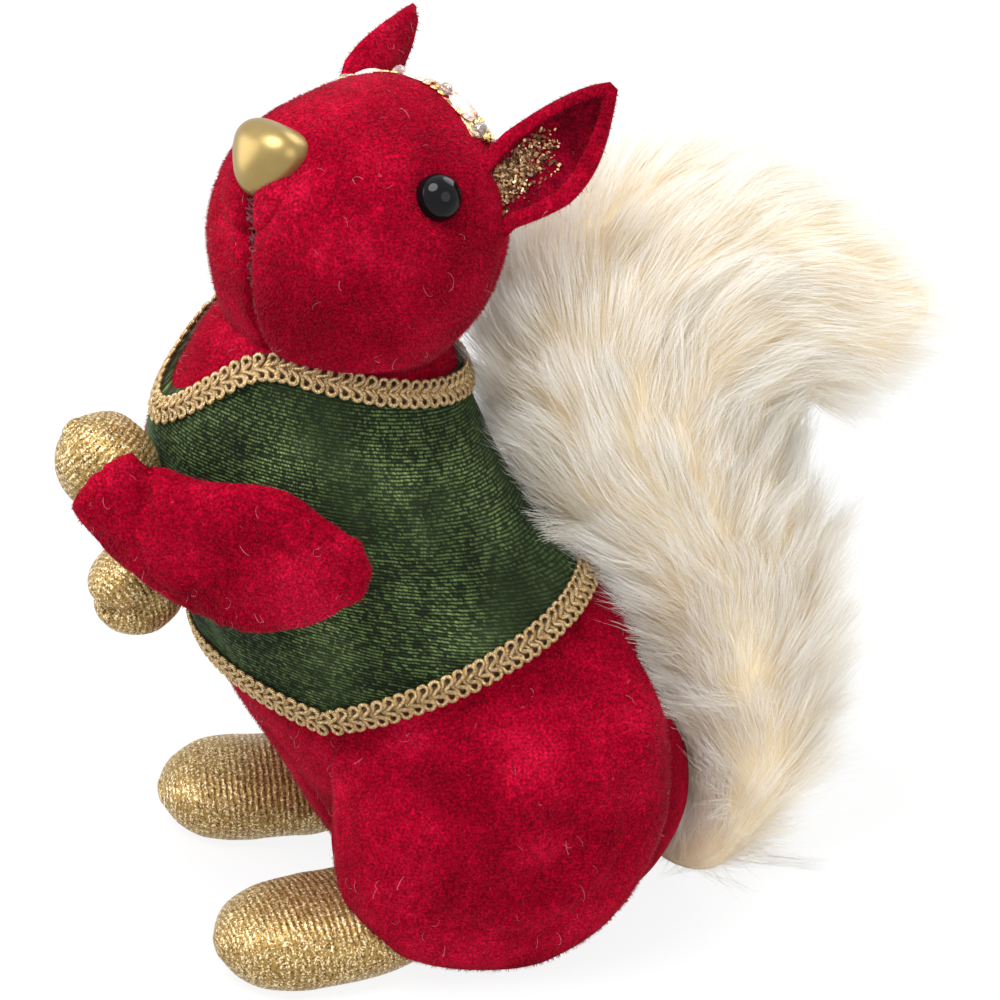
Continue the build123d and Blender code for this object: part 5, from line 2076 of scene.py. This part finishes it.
    def dress(self) -> None:
        """Build all limbs on both sides."""
        finishes = self.shop.finishes
        for side in Side:
            for part, build, finish, slot, each in (
                ("thigh", self.build_thigh, finishes.red, "red_velvet", 1.5),
                ("foot", self.build_foot, finishes.knit, "gold_knit", 0.0),
                ("arm", self.build_arm, finishes.red, "red_velvet", 1.8),
                ("paw", self.build_paw, finishes.knit, "gold_knit", 0.0),
            ):
                piece = build(side)
                put_on(piece, finish)
                declare(piece, (f"{part}_{side.word}_cover", f"{part}_{side.word}_core"))
                if each > 0:
                    places = vertex_places(piece)
                    hidden = (np.abs(places[:, 0]) < self.thigh_inner + 8) & (part == "thigh")
                    self.shop.grow_nap(piece, finishes.pile, slot, each, NAP_LENGTH, 111 + side.value, hidden)


@dataclass
class Tail:
    """Fur tail: backing skin and combed strands in tufts."""

    shop: Workshop
    skin_share: float = 0.87
    rows: int = 150
    columns: int = 120
    bands: int = 8
    hair_length: float = 19.0
    hairs: float = 2.08
    lift: float = 0.50
    fan: float = 0.62

    def form(self) -> StuffedForm:
        """Tail through its fanned sections, at the size of the backing."""
        shares = np.array(TAIL_SHARES)
        width, depth, height = TAIL_SIZE
        count = len(shares)
        start = np.array(TAIL_START)
        centres = np.stack([np.zeros(count), start[1] + shares[:, 0] * depth, start[2] + shares[:, 1] * height], axis=1)
        turn = np.radians(shares[:, 2])
        y_axes = np.stack([np.zeros(count), np.cos(turn), -np.sin(turn)], axis=1)
        halves = np.stack([shares[:, 4] * width, shares[:, 3] * depth], axis=1) * self.skin_share
        return StuffedForm(centres, np.tile([1.0, 0, 0], (count, 1)), y_axes, halves)

    def build_skin(self) -> tuple[bpy.types.Object, np.ndarray]:
        """Backing skin and its rings."""
        rings = self.form().rings(self.rows, self.columns, 0.0, (0.3, 0.6))
        rings[..., 2] = np.maximum(rings[..., 2], 1.5)
        return closed_rings("tail_backing", rings), rings

    def grow(self, rings: np.ndarray) -> list:
        """Combed strands in bands along the tail.

        Args:
            rings: rings of the backing, from base to tip.

        Returns:
            One piece for each band.
        """
        middle = rings.mean(axis=1)
        heading = unit(np.gradient(middle, axis=0))
        comb = np.broadcast_to(heading[:, None, :], rings.shape).copy()
        comb += np.array([0, 0, 1.0]) * 0.08
        count = len(rings)
        part = np.linspace(0, 1, count)
        edgeward = np.cross(np.array([1.0, 0, 0]), heading)[:, None, :]
        offset = np.sum((rings - middle[:, None, :]) * edgeward, axis=-1)
        offset = offset / np.maximum(np.abs(offset).max(axis=1, keepdims=True), 1e-6)
        fan = self.fan * (1 - 0.85 * np.clip((part - 0.6) / 0.25, 0, 1))
        comb += edgeward * (np.sin(offset * math.pi / 2) * fan[:, None])[..., None]
        reach = self.hair_length * (0.80 + 0.20 * np.clip(part / 0.25, 0, 1)) * (1 - 0.55 * np.clip((part - 0.7) / 0.3, 0, 1))
        pieces = []
        edges = np.linspace(0, count - 1, self.bands + 1).astype(int)
        for band, (first, last) in enumerate(zip(edges, edges[1:])):
            strip = rings[first : last + 1]
            skin = mesh_object(
                f"tail_band_{band}", strip.reshape(-1, 3), rings_to_faces(len(strip), self.columns)
            )
            outward = strip - middle[first : last + 1][:, None, :]
            normals = vertex_normals(skin).reshape(strip.shape)
            if np.mean(np.sum(normals * outward, axis=-1)) < 0:
                skin.data.flip_normals()
            loose = (0.55 + 0.45 * np.clip(part[first : last + 1] / 0.22, 0, 1))[:, None, None]
            write_attribute(skin.data, "comb", (unit(comb[first : last + 1]) * loose).reshape(-1, 3))
            lengths = np.broadcast_to(reach[first : last + 1][:, None], strip.shape[:2])
            write_attribute(skin.data, "reach", lengths.ravel() * MM)
            tufted = 1 - 0.6 * min(max(band - 3, 0) / 3, 1)
            piece = self.shop.strands.run(
                skin,
                f"tail_fur_{band}",
                Unit=self.shop.hair,
                Finish=self.shop.finishes.fur,
                Density=self.hairs / MM**2,
                Lift=self.lift,
                Stray=0.32,
                Tuft_Size=0.0075,
                Tuft_Pull=0.82 * tufted,
                Clump_Pull=0.22 * tufted,
                Sway=0.012 * tufted,
                Wave=0.014 * tufted,
                Seed=200 + band,
            )
            bpy.data.objects.remove(skin)
            pieces.append(piece)
        return pieces

    def dress(self) -> None:
        """Build backing and fur."""
        skin, rings = self.build_skin()
        put_on(skin, self.shop.finishes.fur_skin)
        declare(skin, ("tail_fur", "tail_core"))
        for piece in self.grow(rings):
            declare(piece)


@dataclass
class Inside:
    """Pieces that the covers hide."""

    shop: Workshop

    def dress(self) -> None:
        """Give every carried-over node its own finish."""
        finishes = self.shop.finishes
        named = {"neck_dowel": finishes.wood, "base_disc": finishes.board, "tail_wire": finishes.wire}
        for name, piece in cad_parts.items():
            if name.endswith("_core"):
                put_on(piece, finishes.stuffing)
            elif name in named:
                put_on(piece, named[name])


def seen_rays(sheet: NodeSheet) -> bpy.types.NodeSocket:
    """One for the rays that show the surroundings: to the camera, off metal and through glass."""
    ray = sheet.add("ShaderNodeLightPath").outputs
    turned = sheet.number("MAXIMUM", ray["Is Glossy Ray"], ray["Is Transmission Ray"])
    return sheet.number("MAXIMUM", ray["Is Camera Ray"], turned)


@dataclass
class Studio:
    """Pale floor, soft light and the camera at the photograph's angle."""

    azimuth: float = 76.0
    elevation: float = 26.0
    target: tuple = (13.0, 0.0, 101.0)
    distance: float = 1050.0
    lens: float = 168.0

    def backward(self) -> np.ndarray:
        """Direction from the target to the camera."""
        turn, rise = math.radians(self.azimuth), math.radians(self.elevation)
        return np.array([math.sin(turn) * math.cos(rise), -math.cos(turn) * math.cos(rise), math.sin(rise)])

    def aim(self, thing: bpy.types.Object, place: np.ndarray, at: np.ndarray) -> None:
        """Put a camera or lamp at a place and point it."""
        thing.location = place * MM
        thing.rotation_euler = Vector((at - place).tolist()).to_track_quat("-Z", "Y").to_euler()
        bpy.context.scene.collection.objects.link(thing)

    def build_camera(self) -> None:
        """Camera of the main view."""
        data = bpy.data.cameras.new("camera")
        data.lens = self.lens
        data.sensor_width = 36.0
        data.clip_start, data.clip_end = 0.01, 20.0
        camera = bpy.data.objects.new("camera", data)
        target = np.array(self.target)
        self.aim(camera, target + self.backward() * self.distance, target)
        bpy.context.scene.camera = camera

    def build_light(self, name: str, angle: float, rise: float, away: float, size: float, power: float) -> None:
        """Soft lamp around the object; the angle counts from the camera, to its right."""
        data = bpy.data.lights.new(name, "AREA")
        data.shape = "DISK"
        data.size = size
        data.energy = power
        lamp = bpy.data.objects.new(name, data)
        turn, height = math.radians(self.azimuth + angle), math.radians(rise)
        way = np.array([math.sin(turn) * math.cos(height), -math.cos(turn) * math.cos(height), math.sin(height)])
        target = np.array(self.target)
        self.aim(lamp, target + way * away, target)

    def build_world(self) -> None:
        """White surroundings, at full strength only where they are seen."""
        world = bpy.data.worlds.new("studio")
        bpy.context.scene.world = world
        world.use_nodes = True
        sheet = NodeSheet(world.node_tree)
        world.node_tree.nodes.clear()
        strength = sheet.number("MULTIPLY_ADD", seen_rays(sheet), 0.35)
        strength.node.inputs[2].default_value = 0.65
        back = sheet.add("ShaderNodeBackground", {"Color": (1.0, 1.0, 1.0, 1.0), "Strength": strength})
        sheet.add("ShaderNodeOutputWorld", {"Surface": back.outputs["Background"]})

    def build_floor(self) -> None:
        """White floor that keeps a faint shadow."""
        floor = mesh_object(
            "floor", np.array([[-4000, -4000, 0], [4000, -4000, 0], [4000, 4000, 0], [-4000, 4000, 0]]), [[0, 1, 2, 3]]
        )
        sheet = FinishSheet("floor_white")
        matt = sheet.add("ShaderNodeBsdfDiffuse", {"Color": (0.85, 0.85, 0.85, 1.0)})
        white = sheet.add("ShaderNodeEmission", {"Color": (1.0, 1.0, 1.0, 1.0), "Strength": 1.0})
        share = sheet.number("MULTIPLY", seen_rays(sheet), 0.88)
        both = sheet.add("ShaderNodeMixShader", {0: share, 1: matt.outputs["BSDF"], 2: white.outputs["Emission"]})
        sheet.add("ShaderNodeOutputMaterial", {"Surface": both.outputs["Shader"]})
        put_on(floor, sheet.material)

    def build(self) -> None:
        """Set up floor, world, lamps and camera."""
        bpy.context.scene.view_settings.view_transform = "Standard"
        self.build_floor()
        self.build_world()
        self.build_light("key", -56.0, 66.0, 900.0, 0.6, 9.5)
        self.build_light("side", -98.0, 14.0, 1000.0, 0.8, 4.6)
        self.build_light("fill", 40.0, 25.0, 1000.0, 0.8, 3.2)
        self.build_light("rim", 140.0, 40.0, 900.0, 0.6, 3.5)
        self.build_camera()


def main() -> None:
    """Build every sub-assembly in order."""
    logging.basicConfig(level=logging.INFO, format="%(message)s")
    shop = Workshop()
    for part in (Body(shop), Waistcoat(shop), Head(shop), Ears(shop), Headband(shop), Limbs(shop), Tail(shop), Inside(shop)):
        LOG.info("building %s", type(part).__name__)
        part.dress()
    Studio().build()


if __name__ == "__main__":
    main()
